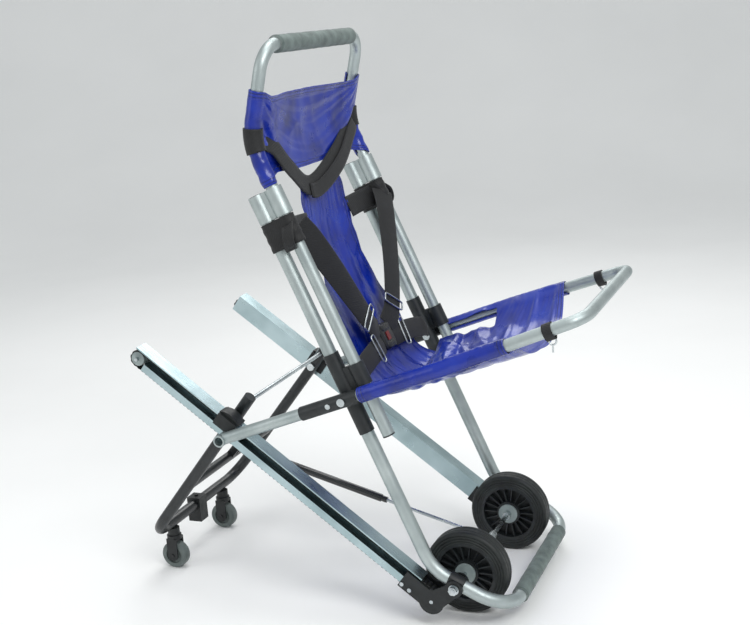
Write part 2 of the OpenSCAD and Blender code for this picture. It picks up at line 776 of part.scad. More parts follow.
// ---- Sliders: a saddle over each rail ----
saddle_half = 24;
saddle_over = 4;
module slider_saddles() {
    w0 = rail_drop - 0.6 - saddle_over;
    color(BLACK) to_origin() both_sides() track_frame() translate([slider_s, 0, 0]) {
        translate([-saddle_half, rail_in - cheek_gap - cheek_t, w0])
            cube([saddle_half * 2, rail_w + 2 * cheek_gap + 2 * cheek_t, saddle_over]);
        translate([-saddle_half, rail_in - cheek_gap - cheek_t, w0])
            cube([saddle_half * 2, cheek_t, slider_w - w0 + 16]);
        translate([-saddle_half, rail_out + cheek_gap, w0])
            cube([saddle_half * 2, cheek_t, slider_w - w0 + 10]);
        translate([-saddle_half + 4, rail_out - 3, slot_low - 9])
            cube([saddle_half * 2 - 8, 3 + cheek_gap + 1, 8]);
        translate([0, 0, rail_drop]) saddle_hump();
    }
}
module saddle_hump() {
    intersection() {
        translate([0, rail_y, 26]) rotate([90, 0, 0]) cylinder(r = 40, h = rail_w - 6, center = true);
        translate([-40, rail_in, -20]) cube([80, rail_w, 15.6]);
    }
}
module slider_bolts() {
    color(STEEL) to_origin() both_sides() translate([slider_at[0], 0, slider_at[1]]) {
        across(pin_d / 2, stand_y - stand_r - 3, rail_in - cheek_gap - cheek_t);
        across(pin_d / 2 + 4, stand_y - stand_r - 6, stand_y - stand_r - 1);
    }
}

// ---- Stand ----
stand_bend = 58;
module stand_tube() {
    color(BLACK) to_origin() difference() {
        bent_tube([on_y(stand_high, -stand_y), on_y(stand_low, -stand_y),
                   on_y(stand_low, stand_y), on_y(stand_high, stand_y)],
                  [stand_bend, stand_bend], stand_r, stand_r - wall);
        translate([slider_at[0], 0, slider_at[1]]) both_sides()
            across(pin_d / 2 + turn_gap, stand_y - 30, stand_y + 30);
        both_sides() translate([caster_x, caster_y, bar_z - stand_r - 3]) cylinder(r = 6, h = stand_d);
    }
}
lug_gap = 9;
module stand_cross_bar() {
    bar_r = 11;
    reach = stand_y - stand_r + 1.5;
    color(BLACK) to_origin() difference() {
        union() {
            translate([cross_at[0], 0, cross_at[1]]) across(bar_r, -reach, reach);
            both_sides() difference() {
                translate([0, lug_gap, 0]) rotate([90, 0, 0]) translate([0, 0, -5])
                    linear_extrude(5) hull() {
                        translate(cross_at) circle(9, $fn = 32);
                        translate(gas_pin) circle(9, $fn = 32);
                    }
                translate([gas_pin[0], 0, gas_pin[1]]) across(4, 0, 30);
            }
        }
        for (s = [-1, 1])
            pipe(on_y(stand_high, s * stand_y), on_y(stand_low, s * stand_y), stand_r);
    }
}
module tie_rod() {
    reach = stand_y - stand_r;
    color(GREY) to_origin() translate([tie_at[0], 0, tie_at[1]]) across(5, -reach, reach);
}
// Square parking foot clamped on the bottom bar
foot_half = 17;
module stand_foot() {
    color(BLACK) to_origin() {
        translate([stand_low[0], 0, bar_z]) difference() {
            translate([-foot_half, -foot_half, -42])
                cube([2 * foot_half, 2 * foot_half, 42 + stand_r + 5]);
            across(stand_r, -40, 40);
        }
        translate([stand_low[0], 0, bar_z + stand_r + 5]) cylinder(r = 5, h = 4);
    }
}
module stand_caps() {
    up = -leg_dir;
    color(BLACK) to_origin() for (s = [-1, 1]) {
        pipe(on_y(stand_high, s * stand_y), on_y(stand_high + up * 4, s * stand_y), stand_r);
        pipe(on_y(stand_high - up * 14, s * stand_y), on_y(stand_high, s * stand_y), stand_r - wall);
    }
}

// ---- Casters ----
module caster_fork(side) {
    r = caster_d / 2;
    inner = caster_w / 2 + 1.5;
    y = side * caster_y;
    color(BLACK) to_origin() translate([caster_x, y, 0]) {
        translate([0, 0, bar_z - stand_r - 2]) cylinder(r = 6 - turn_gap, h = stand_d - 4);
        translate([0, 0, caster_d + 16]) cylinder(r = 14, h = bar_z - stand_r - 0.5 - caster_d - 16);
        translate([0, 0, caster_d + 7]) cylinder(r = 17, h = 10);
        for (s = [-1, 1]) difference() {
            union() {
                translate([-13, s > 0 ? inner : -inner - 3, r - 4]) cube([26, 3, r + 14]);
                translate([0, 0, r]) across(13, s > 0 ? inner : -inner - 3,
                                            s > 0 ? inner + 3 : -inner);
            }
        }
        translate([-13, -inner - 3, caster_d + 3]) cube([26, 2 * inner + 6, 5]);
        translate([0, 0, r]) across(4, -inner - 5, inner + 5);
    }
}
module caster_fork_left() { caster_fork(1); }
module caster_fork_right() { caster_fork(-1); }
module caster_wheel(side) {
    h = caster_w / 2;
    r = caster_d / 2;
    color(GREY) to_origin() translate([caster_x, side * caster_y, r]) rotate([90, 0, 0])
        rotate_extrude() difference() {
            union() {
                translate([4 + turn_gap, -h + 2]) square([r - 8, h * 2 - 4]);
                translate([r - 12, -h]) square([7, h * 2]);
                translate([r - 6, -h + 5]) square([6, h * 2 - 10]);
                for (s = [-1, 1]) translate([r - 5, s * (h - 5)]) circle(5);
            }
            for (s = [-1, 1]) translate([11, s * h - 4]) square([8, 8]);
        }
}
module caster_wheel_left() { caster_wheel(1); }
module caster_wheel_right() { caster_wheel(-1); }

// ---- Gas spring, from the wheel axle to the stand ----
rod_len = gas_len - 372;
module gas_frame() {
    place([0, 0, axle_z], -on_y(gas_dir, 0), [0, 1, 0]) children();
}
module gas_rod() {
    color(STEEL) to_origin() gas_frame() difference() {
        union() {
            translate([axle_r + 2, 0, 0]) rotate([0, 90, 0]) cylinder(d = gas_rod_d, h = rod_len + 64);
            translate([0, 0, -7.5]) cylinder(r = axle_r + 5, h = 15);
        }
        translate([0, 0, -20]) cylinder(r = axle_r + turn_gap, h = 40);
    }
}
module gas_cylinder() {
    body = gas_len - rod_len - 14;
    color(BLACK) to_origin() gas_frame() difference() {
        union() {
            translate([rod_len, 0, 0]) rotate([0, 90, 0]) cylinder(d = gas_d, h = body);
            translate([rod_len - 14, 0, 0]) rotate([0, 90, 0]) cylinder(d = gas_d - 4, h = 15);
            translate([gas_len - 16, 0, 0]) rotate([0, 90, 0]) cylinder(d = 9, h = 8);
            translate([gas_len, 0, -6]) cylinder(r = 9, h = 12);
        }
        translate([rod_len - 20, 0, 0]) rotate([0, 90, 0])
            cylinder(d = gas_rod_d + 0.6, h = 372 - 40);
        translate([gas_len, 0, -20]) cylinder(r = 4, h = 40);
    }
}

main_tube_left();
main_tube_right();
foot_loop();
foot_grip();
main_sleeves();
guide_collars();
handle_guides();
axle_blocks();
wheel_axle();
axle_nuts();
tube_caps();
pivot_pins();
anchor_straps();
shoulder_belt_left();
shoulder_belt_right();
back_sling();
handle_tube();
handle_grip();
handle_plugs();
headrest_sling();
head_strap();
seat_tube();
seat_sling();
seat_sleeves();
seat_hardware();
seat_rear_sockets();
lap_belt();
buckle_body();
buckle_tongue();
buckle_button();
tyre_left();
tyre_right();
wheel_left();
wheel_right();
wheel_bush_left();
wheel_bush_right();
rail_left();
rail_right();
track_belt_left();
track_belt_right();
end_plates();
track_bolts();
pulley_upper_left();
pulley_upper_right();
pulley_lower_left();
pulley_lower_right();
slider_saddles();
slider_bolts();
stand_tube();
stand_cross_bar();
tie_rod();
stand_foot();
stand_caps();
caster_fork_left();
caster_fork_right();
caster_wheel_left();
caster_wheel_right();
gas_cylinder();
gas_rod();
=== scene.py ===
"""Looks of a folding stair chair: coated-cloth slings, webbing, foam, rubber and metal finishes."""

import json
import math

import bmesh
import bpy
import numpy as np
from mathutils import Matrix, Vector


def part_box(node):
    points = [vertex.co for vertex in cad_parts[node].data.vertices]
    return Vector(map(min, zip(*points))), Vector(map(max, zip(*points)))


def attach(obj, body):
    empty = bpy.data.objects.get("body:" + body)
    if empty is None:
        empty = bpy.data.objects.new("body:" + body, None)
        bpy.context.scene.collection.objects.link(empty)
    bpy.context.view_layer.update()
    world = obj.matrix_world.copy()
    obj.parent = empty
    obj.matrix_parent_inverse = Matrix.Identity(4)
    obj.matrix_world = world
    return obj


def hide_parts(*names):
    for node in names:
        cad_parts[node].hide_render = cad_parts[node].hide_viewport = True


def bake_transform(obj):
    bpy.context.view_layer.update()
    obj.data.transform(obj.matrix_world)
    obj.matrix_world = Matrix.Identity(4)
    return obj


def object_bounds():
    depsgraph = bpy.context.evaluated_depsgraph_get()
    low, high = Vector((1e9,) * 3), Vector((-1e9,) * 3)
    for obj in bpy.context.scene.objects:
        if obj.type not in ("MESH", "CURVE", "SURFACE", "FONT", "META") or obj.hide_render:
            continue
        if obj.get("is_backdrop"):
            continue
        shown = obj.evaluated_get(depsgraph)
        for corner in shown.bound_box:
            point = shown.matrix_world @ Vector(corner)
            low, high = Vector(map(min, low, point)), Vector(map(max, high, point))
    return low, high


bl_info = {
    "name": "Stair chair",
    "version": (1, 0, 0),
    "blender": (4, 5, 0),
    "location": "View3D > Sidebar > Stair chair",
    "description": "Cloth, webbing, grips, tyres and finishes for a folding stair chair",
    "category": "Object",
}

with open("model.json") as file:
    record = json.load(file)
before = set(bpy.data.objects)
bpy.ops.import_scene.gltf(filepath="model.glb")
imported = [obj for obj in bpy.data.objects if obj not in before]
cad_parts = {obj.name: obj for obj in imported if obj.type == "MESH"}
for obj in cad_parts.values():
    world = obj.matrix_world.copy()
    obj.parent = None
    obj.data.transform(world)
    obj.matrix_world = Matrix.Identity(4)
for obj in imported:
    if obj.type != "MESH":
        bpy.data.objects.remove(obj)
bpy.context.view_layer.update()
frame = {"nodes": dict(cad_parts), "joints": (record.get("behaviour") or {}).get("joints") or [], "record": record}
JOINTS = {joint["name"]: joint for joint in frame["joints"]}

# Directions and places that the frame's joints give
PIVOT = np.array(JOINTS["seat_fold"]["pos_m"])
BACK_UP = np.array(JOINTS["handle_slide"]["axis"])
BACK_OUT = np.array([BACK_UP[2], 0.0, -BACK_UP[0]])
ACROSS = np.array([0.0, 1.0, 0.0])

# Sizes that the cloth and straps share with the frame, in metres and degrees
SEAT_RISE = 19.25
HANDLE_LEAN = 14.4
FRAME_Y = 0.242
HANDLE_GAP = 0.042
KNEE_T = 0.547
KNEE_BEND = 0.150
TUBE_R = 0.014
HANDLE_R = 0.013
SEAT_R = 0.0125
SEAT_Y = 0.2745
SEAT_FRONT_Y = 0.218
SEAT_LEN = 0.5126
TAPER_START = 0.215
SEAT_SAG = 0.062
SLOT_Y, SLOT_END = 0.211, 0.178
CLOTH_WALL = 0.0014
SETTLE_FRAMES, SETTLE_CAP = 22, 0.012
ANCHOR_LOW, ANCHOR_HIGH = 0.325, 0.385
BUCKLE_T, BUCKLE_N = 0.060, 0.008

SEAT_ON = np.array([math.cos(math.radians(SEAT_RISE)), 0.0, math.sin(math.radians(SEAT_RISE))])
SEAT_UP = np.array([-SEAT_ON[2], 0.0, SEAT_ON[0]])
HEAD_UP = np.array([math.sin(math.radians(HANDLE_LEAN)), 0.0, math.cos(math.radians(HANDLE_LEAN))])


def linear(colour):
    """An sRGB hex colour as linear red, green, blue and alpha."""
    channels = [int(colour[i:i + 2], 16) / 255 for i in (1, 3, 5)]
    return tuple(c / 12.92 if c <= 0.04045 else ((c + 0.055) / 1.055) ** 2.4 for c in channels) + (1.0,)


def unit(v):
    """Vectors scaled to length 1 along the last axis."""
    return v / np.maximum(np.linalg.norm(v, axis=-1, keepdims=True), 1e-12)


def mix(*terms):
    """Sum of direction times amount, for pairs (amount array, direction)."""
    return sum(np.asarray(amount, float)[..., None] * direction for amount, direction in terms)


def back_point(n, y, t):
    """A point n in front of the back tubes, y to the left, t up them from the seat pivot."""
    n, y, t = np.broadcast_arrays(n, y, t)
    return PIVOT + mix((n, BACK_OUT), (y, ACROSS), (t, BACK_UP))


def seat_point(t, y, n):
    """A point t forward along the seat from its pivot, y to the left, n above the seat tubes."""
    t, y, n = np.broadcast_arrays(t, y, n)
    return PIVOT + mix((t, SEAT_ON), (y, ACROSS), (n, SEAT_UP))


def smooth_path(points, count):
    """A curve through the points: Catmull-Rom spans, each a cubic whose end slopes are half the
    chord between its neighbours."""
    p = np.asarray(points, float)
    p = np.vstack([2 * p[0] - p[1], p, 2 * p[-1] - p[-2]])
    u = np.linspace(0, len(points) - 1 - 1e-9, count)
    i = u.astype(int)
    f = (u - i)[:, None]
    a, b, c, d = p[i], p[i + 1], p[i + 2], p[i + 3]
    return 0.5 * (2 * b + (c - a) * f + (2 * a - 5 * b + 4 * c - d) * f ** 2
                  + (3 * b - a - 3 * c + d) * f ** 3)


# ---- Meshes ----
# Distance from a hem, in metres, for pieces that have none
NO_HEM = 1.0


def grid_piece(name, points, material, wrap_rows=False, wrap_columns=False, keep=None, hem=None, solid=0.0,
               smooth_levels=0):
    """A mesh from a grid of points, rows by columns. Faces join each point to the next in its row
    and column, and back to the start where the grid wraps. The UV map is the running length along
    the columns and rows in metres; hem is each point's distance from the nearest hem."""
    rows, columns = points.shape[:2]
    index = np.arange(rows * columns).reshape(rows, columns)
    down = np.vstack([index, index[:1]]) if wrap_rows else index
    full = np.hstack([down, down[:, :1]]) if wrap_columns else down
    quads = np.stack([full[:-1, :-1], full[:-1, 1:], full[1:, 1:], full[1:, :-1]], -1)
    if keep is not None:
        quads = quads[keep[:quads.shape[0], :quads.shape[1]]]
    quads = quads.reshape(-1, 4)
    across = np.linalg.norm(np.diff(points, axis=1), axis=2)
    along = np.linalg.norm(np.diff(points, axis=0), axis=2)
    run = np.concatenate([np.zeros((rows, 1)), np.cumsum(across, 1)], 1)
    rise = np.concatenate([np.zeros((1, columns)), np.cumsum(along, 0)], 0)
    mesh = bpy.data.meshes.new(name)
    mesh.vertices.add(rows * columns)
    mesh.vertices.foreach_set("co", points.astype(np.float32).ravel())
    mesh.loops.add(quads.size)
    mesh.loops.foreach_set("vertex_index", quads.ravel().astype(np.int32))
    mesh.polygons.add(len(quads))
    mesh.polygons.foreach_set("loop_start", np.arange(0, quads.size, 4, dtype=np.int32))
    mesh.polygons.foreach_set("loop_total", np.full(len(quads), 4, np.int32))
    layer = mesh.uv_layers.new(name="cloth")
    uv = np.stack([run.ravel()[quads.ravel()], rise.ravel()[quads.ravel()]], -1)
    layer.data.foreach_set("uv", uv.astype(np.float32).ravel())
    attribute = mesh.attributes.new("hem", "FLOAT", "POINT")
    distance = np.broadcast_to(NO_HEM if hem is None else hem, (rows, columns)).ravel()
    attribute.data.foreach_set("value", distance.astype(np.float32))
    mesh.update(calc_edges=True)
    mesh.validate()
    mesh.polygons.foreach_set("use_smooth", np.ones(len(mesh.polygons), bool))
    mesh.materials.append(material)
    piece = bpy.data.objects.new(name, mesh)
    bpy.context.scene.collection.objects.link(piece)
    drop_loose_points(piece)
    if solid:
        wall = piece.modifiers.new("thickness", "SOLIDIFY")
        wall.thickness = solid
        wall.offset = 0
    if smooth_levels:
        smooth = piece.modifiers.new("smooth", "SUBSURF")
        smooth.levels = smooth_levels
        smooth.render_levels = smooth_levels
    return piece


def drop_loose_points(piece):
    """Removes the points that no face uses."""
    mesh = piece.data
    used = np.zeros(len(mesh.vertices), bool)
    corners = np.zeros(len(mesh.loops), np.int32)
    mesh.loops.foreach_get("vertex_index", corners)
    used[corners] = True
    if used.all():
        return
    shape = bmesh.new()
    shape.from_mesh(mesh)
    shape.verts.ensure_lookup_table()
    bmesh.ops.delete(shape, geom=[shape.verts[i] for i in np.flatnonzero(~used)], context="VERTS")
    shape.to_mesh(mesh)
    shape.free()


def points_of(piece):
    """The mesh's points as an array."""
    flat = np.zeros(len(piece.data.vertices) * 3, np.float32)
    piece.data.vertices.foreach_get("co", flat)
    return flat.reshape(-1, 3).astype(float)


def outward(piece):
    """Turns the faces of a closed mesh outwards, after its doubles are merged."""
    shape = bmesh.new()
    shape.from_mesh(piece.data)
    bmesh.ops.remove_doubles(shape, verts=shape.verts, dist=1e-6)
    bmesh.ops.recalc_face_normals(shape, faces=shape.faces)
    shape.to_mesh(piece.data)
    shape.free()
    return piece


def ring_frames(path, face):
    """Tangent, width and face directions along a path: the width is tangent x face."""
    tangent = unit(np.gradient(path, axis=0))
    width = unit(np.cross(tangent, np.broadcast_to(face, path.shape)))
    return tangent, width, unit(np.cross(width, tangent))


def tube_piece(name, path, radius, material, sides=20, closed=False):
    """A round bar along a path: each ring is radius times (width cos a + face sin a). The ends
    close on a small dome of two extra rings."""
    path = np.asarray(path, float)
    face = np.array([0.31, 0.17, 0.93])
    tangent, width, lift = ring_frames(path, face)
    a = np.linspace(0, 2 * math.pi, sides, endpoint=False)
    size = np.full(len(path), radius)
    centre = path
    if not closed:
        ends = np.array([0.0, 0.6, 0.9])
        shift = np.sqrt(1 - ends ** 2) * radius * 0.6
        head = path[0] - tangent[0] * shift[:, None]
        tail = path[-1] + tangent[-1] * shift[::-1, None]
        centre = np.vstack([head, path, tail])
        width = np.vstack([np.repeat(width[:1], 3, 0), width, np.repeat(width[-1:], 3, 0)])
        lift = np.vstack([np.repeat(lift[:1], 3, 0), lift, np.repeat(lift[-1:], 3, 0)])
        size = np.concatenate([ends * radius + 1e-6, size, ends[::-1] * radius + 1e-6])
    points = centre[:, None] + size[:, None, None] * (
        width[:, None] * np.cos(a)[None, :, None] + lift[:, None] * np.sin(a)[None, :, None])
    return outward(grid_piece(name, points, material, wrap_rows=closed, wrap_columns=True))


def ribbon_piece(name, paths, faces, width, material, thick=0.0022, columns=9, crown=0.0):
    """Flat webbing along one or more paths: width directions cross the path and the face, the
    edges close over a thin rounded section, and crown lifts the middle. A face is one direction
    or one for each point of its path."""
    strips = []
    for path, face in zip(paths, faces):
        path = np.asarray(path, float)
        _, side, lift = ring_frames(path, face)
        v = np.linspace(-0.5, 0.5, columns)
        body = path[:, None] + side[:, None] * (v * width)[None, :, None] \
            + lift[:, None] * (crown * (1 - 4 * v ** 2))[None, :, None]
        strips.append(grid_piece(name, body, material, hem=(0.5 - np.abs(v)) * width, solid=thick,
                                 smooth_levels=1))
    return joined(name, strips)


def joined(name, pieces):
    """Several like pieces as one object, with the first one's modifiers."""
    for o in bpy.context.selected_objects:
        o.select_set(False)
    for o in pieces:
        o.select_set(True)
    bpy.context.view_layer.objects.active = pieces[0]
    if len(pieces) > 1:
        bpy.ops.object.join()
    pieces[0].name = name
    pieces[0].data.name = name
    return pieces[0]


def creases(u, v, seed, size):
    """Soft creases: five sets of parallel ridges, (1 - |sin|) squared, at seeded angles, each set
    bent by a slower wave. The result averages zero."""
    rng = np.random.default_rng(seed)
    total = np.zeros(np.broadcast(u, v).shape)
    for _ in range(5):
        angle, pitch = rng.uniform(0, math.pi), rng.uniform(0.7, 1.5) * size
        depth = rng.uniform(0.6, 1.6)
        wave = 2 * math.pi * (u * math.cos(angle + 1.2) + v * math.sin(angle + 1.2)) / (3 * size)
        bend = depth * np.sin(wave + rng.uniform(0, 6))
        phase = math.pi * (u * math.cos(angle) + v * math.sin(angle)) / pitch + bend + rng.uniform(0, 6)
        total += rng.uniform(0.5, 1.0) * (1 - np.abs(np.sin(phase))) ** 2
    return total - total.mean()


def settle(piece, held, slack, frames, cap):
    """Lets coated cloth hang by simulation. Points with held 1 are sewn or wrapped and stay; the
    cloth is cut larger than its space by the slack, so it buckles into folds. No point moves more
    than the cap."""
    start = points_of(piece)
    group = piece.vertex_groups.new(name="held")
    for level in np.unique(np.round(held, 1)):
        if level > 0:
            group.add(np.flatnonzero(np.round(held, 1) == level).tolist(), float(level), "REPLACE")
    shown = [(m, m.show_viewport) for m in piece.modifiers]
    for modifier, _ in shown:
        modifier.show_viewport = False
    cloth = piece.modifiers.new("drape", "CLOTH")
    piece.modifiers.move(len(piece.modifiers) - 1, 0)
    cloth = piece.modifiers["drape"]
    cloth.settings.quality = 5
    cloth.settings.mass = 0.4
    cloth.settings.tension_stiffness = 30
    cloth.settings.compression_stiffness = 30
    cloth.settings.shear_stiffness = 8
    cloth.settings.bending_stiffness = 1.2
    cloth.settings.tension_damping = 8
    cloth.settings.vertex_group_mass = "held"
    cloth.settings.pin_stiffness = 1.0
    cloth.settings.shrink_min = -slack
    cloth.collision_settings.use_collision = False
    cloth.collision_settings.use_self_collision = False
    cloth.point_cache.frame_start = 1
    cloth.point_cache.frame_end = frames
    scene = bpy.context.scene
    for f in range(1, frames + 1):
        scene.frame_set(f)
    graph = bpy.context.evaluated_depsgraph_get()
    result = piece.evaluated_get(graph).data
    flat = np.zeros(len(result.vertices) * 3, np.float32)
    result.vertices.foreach_get("co", flat)
    move = flat.reshape(-1, 3).astype(float) - start
    length = np.linalg.norm(move, axis=1, keepdims=True)
    move *= np.minimum(1.0, cap / np.maximum(length, 1e-9))
    move *= (1 - held)[:, None]
    piece.modifiers.remove(cloth)
    piece.vertex_groups.clear()
    piece.data.vertices.foreach_set("co", (start + move).astype(np.float32).ravel())
    piece.data.update()
    for modifier, state in shown:
        modifier.show_viewport = state
    scene.frame_set(1)


def sling_section(tube_y, radius, sag, start, wraps, spans):
    """Cloth round two tubes and slack between them, seen along the tubes. From the start angle it
    follows each tube's circle, leaves it where the circle's slope is b = 2 atan(sag / half width),
    and hangs between as a circular arc of half width over sin b. Returns y, the height above the
    tubes' centres and the share held by a tube, each rows by columns; tube_y is a column."""
    tube_y = np.asarray(tube_y, float).reshape(-1, 1)
    half = tube_y
    for _ in range(3):
        slope = 2 * np.arctan(sag / half)
        half = tube_y - radius * np.sin(slope)
    arc = half / np.sin(slope)
    first = math.radians(start)
    angle = first + np.linspace(0, 1, wraps)[None, :] * (math.pi / 2 + slope - first)
    wrap_y, wrap_n = tube_y + radius * np.cos(angle), radius * np.sin(angle)
    turn = slope * np.linspace(1, -1, spans + 2)[None, 1:-1]
    low = radius * np.cos(slope) - half * np.tan(slope / 2)
    span_y, span_n = arc * np.sin(turn), low + arc * (1 - np.cos(turn))
    y = np.hstack([wrap_y, span_y, -wrap_y[:, ::-1]])
    n = np.hstack([wrap_n, span_n, wrap_n[:, ::-1]])
    held = np.hstack([np.ones_like(wrap_y), np.zeros_like(span_y), np.ones_like(wrap_y)])
    return y, n, held


# ---- Materials ----
# Radians in each metre of hem, for a stitch every 3 mm
STITCHES = 2094.0


def add(tree, kind, inputs=None, **settings):
    """Adds one node: settings are its properties, inputs are values or the sockets to link."""
    node = tree.nodes.new(kind)
    for name, value in settings.items():
        setattr(node, name, value)
    for socket, value in (inputs or {}).items():
        if isinstance(value, bpy.types.NodeSocket):
            tree.links.new(value, node.inputs[socket])
        else:
            node.inputs[socket].default_value = value
    return node


def surface(name, **sockets):
    """A material with one Principled surface, and constants set on that shader's sockets."""
    material = bpy.data.materials.get(name)
    if material:
        return material, None, None
    material = bpy.data.materials.new(name)
    material.use_nodes = True
    shader = material.node_tree.nodes["Principled BSDF"]
    for socket, value in sockets.items():
        shader.inputs[socket.replace("_", " ")].default_value = value
    return material, material.node_tree, shader


def ramp(tree, factor, *stops):
    """A colour ramp with (place, hex colour) stops."""
    node = add(tree, "ShaderNodeValToRGB", {"Fac": factor})
    while len(node.color_ramp.elements) < len(stops):
        node.color_ramp.elements.new(0.5)
    for element, (place, colour) in zip(node.color_ramp.elements, stops):
        element.position = place
        element.color = linear(colour)
    return node.outputs["Color"]


def noise(tree, size_mm, stretch=(1, 1, 1), detail=4.0):
    """Noise on object coordinates whose grain is size_mm, stretched along the axes."""
    place = add(tree, "ShaderNodeTexCoord")
    scaled = add(tree, "ShaderNodeMapping", {"Vector": place.outputs["Object"], "Scale": stretch})
    return add(tree, "ShaderNodeTexNoise",
               {"Vector": scaled.outputs[0], "Scale": 1000.0 / size_mm, "Detail": detail}).outputs["Fac"]


def levels(tree, value, low, high):
    """The value's middle range spread to low and high."""
    return add(tree, "ShaderNodeMapRange", {"Value": value, "From Min": 0.3, "From Max": 0.7,
                                            "To Min": low, "To Max": high}).outputs[0]


def bump(tree, shader, height, strength, depth_mm, normal=None):
    """Bump of a real depth, chained onto an earlier normal where one is given."""
    inputs = {"Height": height, "Strength": strength, "Distance": depth_mm / 1000}
    if normal is not None:
        inputs["Normal"] = normal
    out = add(tree, "ShaderNodeBump", inputs).outputs[0]
    tree.links.new(out, shader.inputs["Normal"])
    return out


def coated_cloth():
    """PVC-coated polyester: a wet-looking film over a fine weave, two rows of stitches in the hems."""
    material, tree, shader = surface("PVC-coated polyester", Roughness=0.32, Coat_Weight=0.3,
                                     Coat_Roughness=0.08, Specular_IOR_Level=0.4)
    if tree is None:
        return material
    cloth = bpy.context.scene.stair_cloth
    place = add(tree, "ShaderNodeUVMap", uv_map="cloth").outputs[0]
    patches = noise(tree, 70, detail=3.0)
    film = ramp(tree, patches, (0.25, cloth.shade), (0.5, cloth.blue), (0.78, cloth.light))
    tree.links.new(levels(tree, noise(tree, 40), 0.24, 0.4), shader.inputs["Roughness"])
    # Two rows of stitches, 5 and 12 mm from the hem, each stitch 3 mm
    edge = add(tree, "ShaderNodeAttribute", attribute_name="hem").outputs["Fac"]
    off = [add(tree, "ShaderNodeMath", {0: edge, 1: at}, operation="SUBTRACT") for at in (0.005, 0.012)]
    rows = [add(tree, "ShaderNodeMath", {0: node.outputs[0]}, operation="ABSOLUTE") for node in off]
    nearest = add(tree, "ShaderNodeMath", {0: rows[0].outputs[0], 1: rows[1].outputs[0]},
                  operation="MINIMUM").outputs[0]
    line = add(tree, "ShaderNodeMapRange", {"Value": nearest, "From Min": 0.0004, "From Max": 0.0013,
                                            "To Min": 1.0, "To Max": 0.0}).outputs[0]
    run = add(tree, "ShaderNodeSeparateXYZ", {0: place})
    both = add(tree, "ShaderNodeMath", {0: run.outputs[0], 1: run.outputs[1]}, operation="ADD").outputs[0]
    turn = add(tree, "ShaderNodeMath", {0: both, 1: STITCHES}, operation="MULTIPLY").outputs[0]
    dash = add(tree, "ShaderNodeMath", {0: turn}, operation="SINE").outputs[0]
    gate = add(tree, "ShaderNodeMapRange", {"Value": dash, "From Min": -0.6, "From Max": -0.2}).outputs[0]
    stitch = add(tree, "ShaderNodeMath", {0: line, 1: gate}, operation="MULTIPLY").outputs[0]
    colour = add(tree, "ShaderNodeMix", {"Factor": stitch, "A": film, "B": linear(cloth.thread)},
                 data_type="RGBA")
    tree.links.new(colour.outputs["Result"], shader.inputs["Base Color"])
    # Weave printed through the film: threads 1.4 mm apart, drawn coarser than real to show
    weave = add(tree, "ShaderNodeTexChecker", {"Vector": place, "Scale": 700.0}).outputs["Fac"]
    first = bump(tree, shader, weave, 0.06, 0.1)
    second = bump(tree, shader, noise(tree, 34, detail=3.0), 0.25, 0.9, first)
    fold = add(tree, "ShaderNodeMapRange", {"Value": edge, "From Min": 0.015, "From Max": 0.017,
                                            "To Min": 1.0, "To Max": 0.0}).outputs[0]
    third = bump(tree, shader, fold, 0.8, 0.9, second)
    bump(tree, shader, stitch, 1.0, -0.7, third)
    return material


def webbing():
    """Woven polyester webbing: dull ribs 1.6 mm apart across the strap, with selvedges."""
    material, tree, shader = surface("woven polyester webbing", Roughness=0.66, Sheen_Weight=0.08)
    if tree is None:
        return material
    place = add(tree, "ShaderNodeUVMap", uv_map="cloth").outputs[0]
    rib = add(tree, "ShaderNodeTexWave", {"Vector": place, "Scale": 100.0, "Distortion": 0.4},
              bands_direction="DIAGONAL").outputs["Fac"]
    wear = noise(tree, 25)
    tree.links.new(ramp(tree, wear, (0.3, "#08090A"), (0.6, "#0F1012"), (0.85, "#1A1C1F")),
                   shader.inputs["Base Color"])
    bump(tree, shader, rib, 0.5, 0.5, bump(tree, shader, noise(tree, 2.5), 0.25, 0.3))
    return material


def satin_tube():
    """Drawn aluminium tube, clear anodised: satin grey with faint lengthwise draw lines."""
    material, tree, shader = surface("anodised aluminium tube", Metallic=1.0, Roughness=0.34)
    if tree is None:
        return material
    tree.links.new(ramp(tree, noise(tree, 60, detail=2.0), (0.3, "#A7B1B1"), (0.7, "#BDC6C5")),
                   shader.inputs["Base Color"])
    tree.links.new(levels(tree, noise(tree, 6, (1, 1, 0.15)), 0.42, 0.56), shader.inputs["Roughness"])
    bump(tree, shader, noise(tree, 1.5, (1, 1, 0.05)), 0.12, 0.15)
    return material


def anodised_rail():
    """Extruded aluminium rail, bright anodised: cool pale grey with fine lines along the extrusion."""
    material, tree, shader = surface("anodised aluminium extrusion", Metallic=1.0, Roughness=0.3)
    if tree is None:
        return material
    tree.links.new(ramp(tree, noise(tree, 90, detail=2.0), (0.3, "#9DB2B6"), (0.7, "#BFD2D6")),
                   shader.inputs["Base Color"])
    tree.links.new(levels(tree, noise(tree, 2, (0.05, 1, 0.05)), 0.24, 0.38), shader.inputs["Roughness"])
    bump(tree, shader, noise(tree, 1.2, (0.04, 1, 0.04)), 0.15, 0.15)
    return material


def plain_finish(name, dark, light, rough, metallic=0.0, grain_mm=1.5, depth_mm=0.12, patch_mm=30,
                 strength=0.3, **sockets):
    """A moulded, painted or turned finish: two close colours in patches, uneven gloss, fine grain."""
    material, tree, shader = surface(name, Metallic=metallic, **sockets)
    if tree is None:
        return material
    tree.links.new(ramp(tree, noise(tree, patch_mm, detail=3.0), (0.3, dark), (0.7, light)),
                   shader.inputs["Base Color"])
    uneven = levels(tree, noise(tree, patch_mm / 3), rough - 0.07, rough + 0.09)
    tree.links.new(uneven, shader.inputs["Roughness"])
    bump(tree, shader, noise(tree, grain_mm, detail=5.0), strength, depth_mm)
    return material


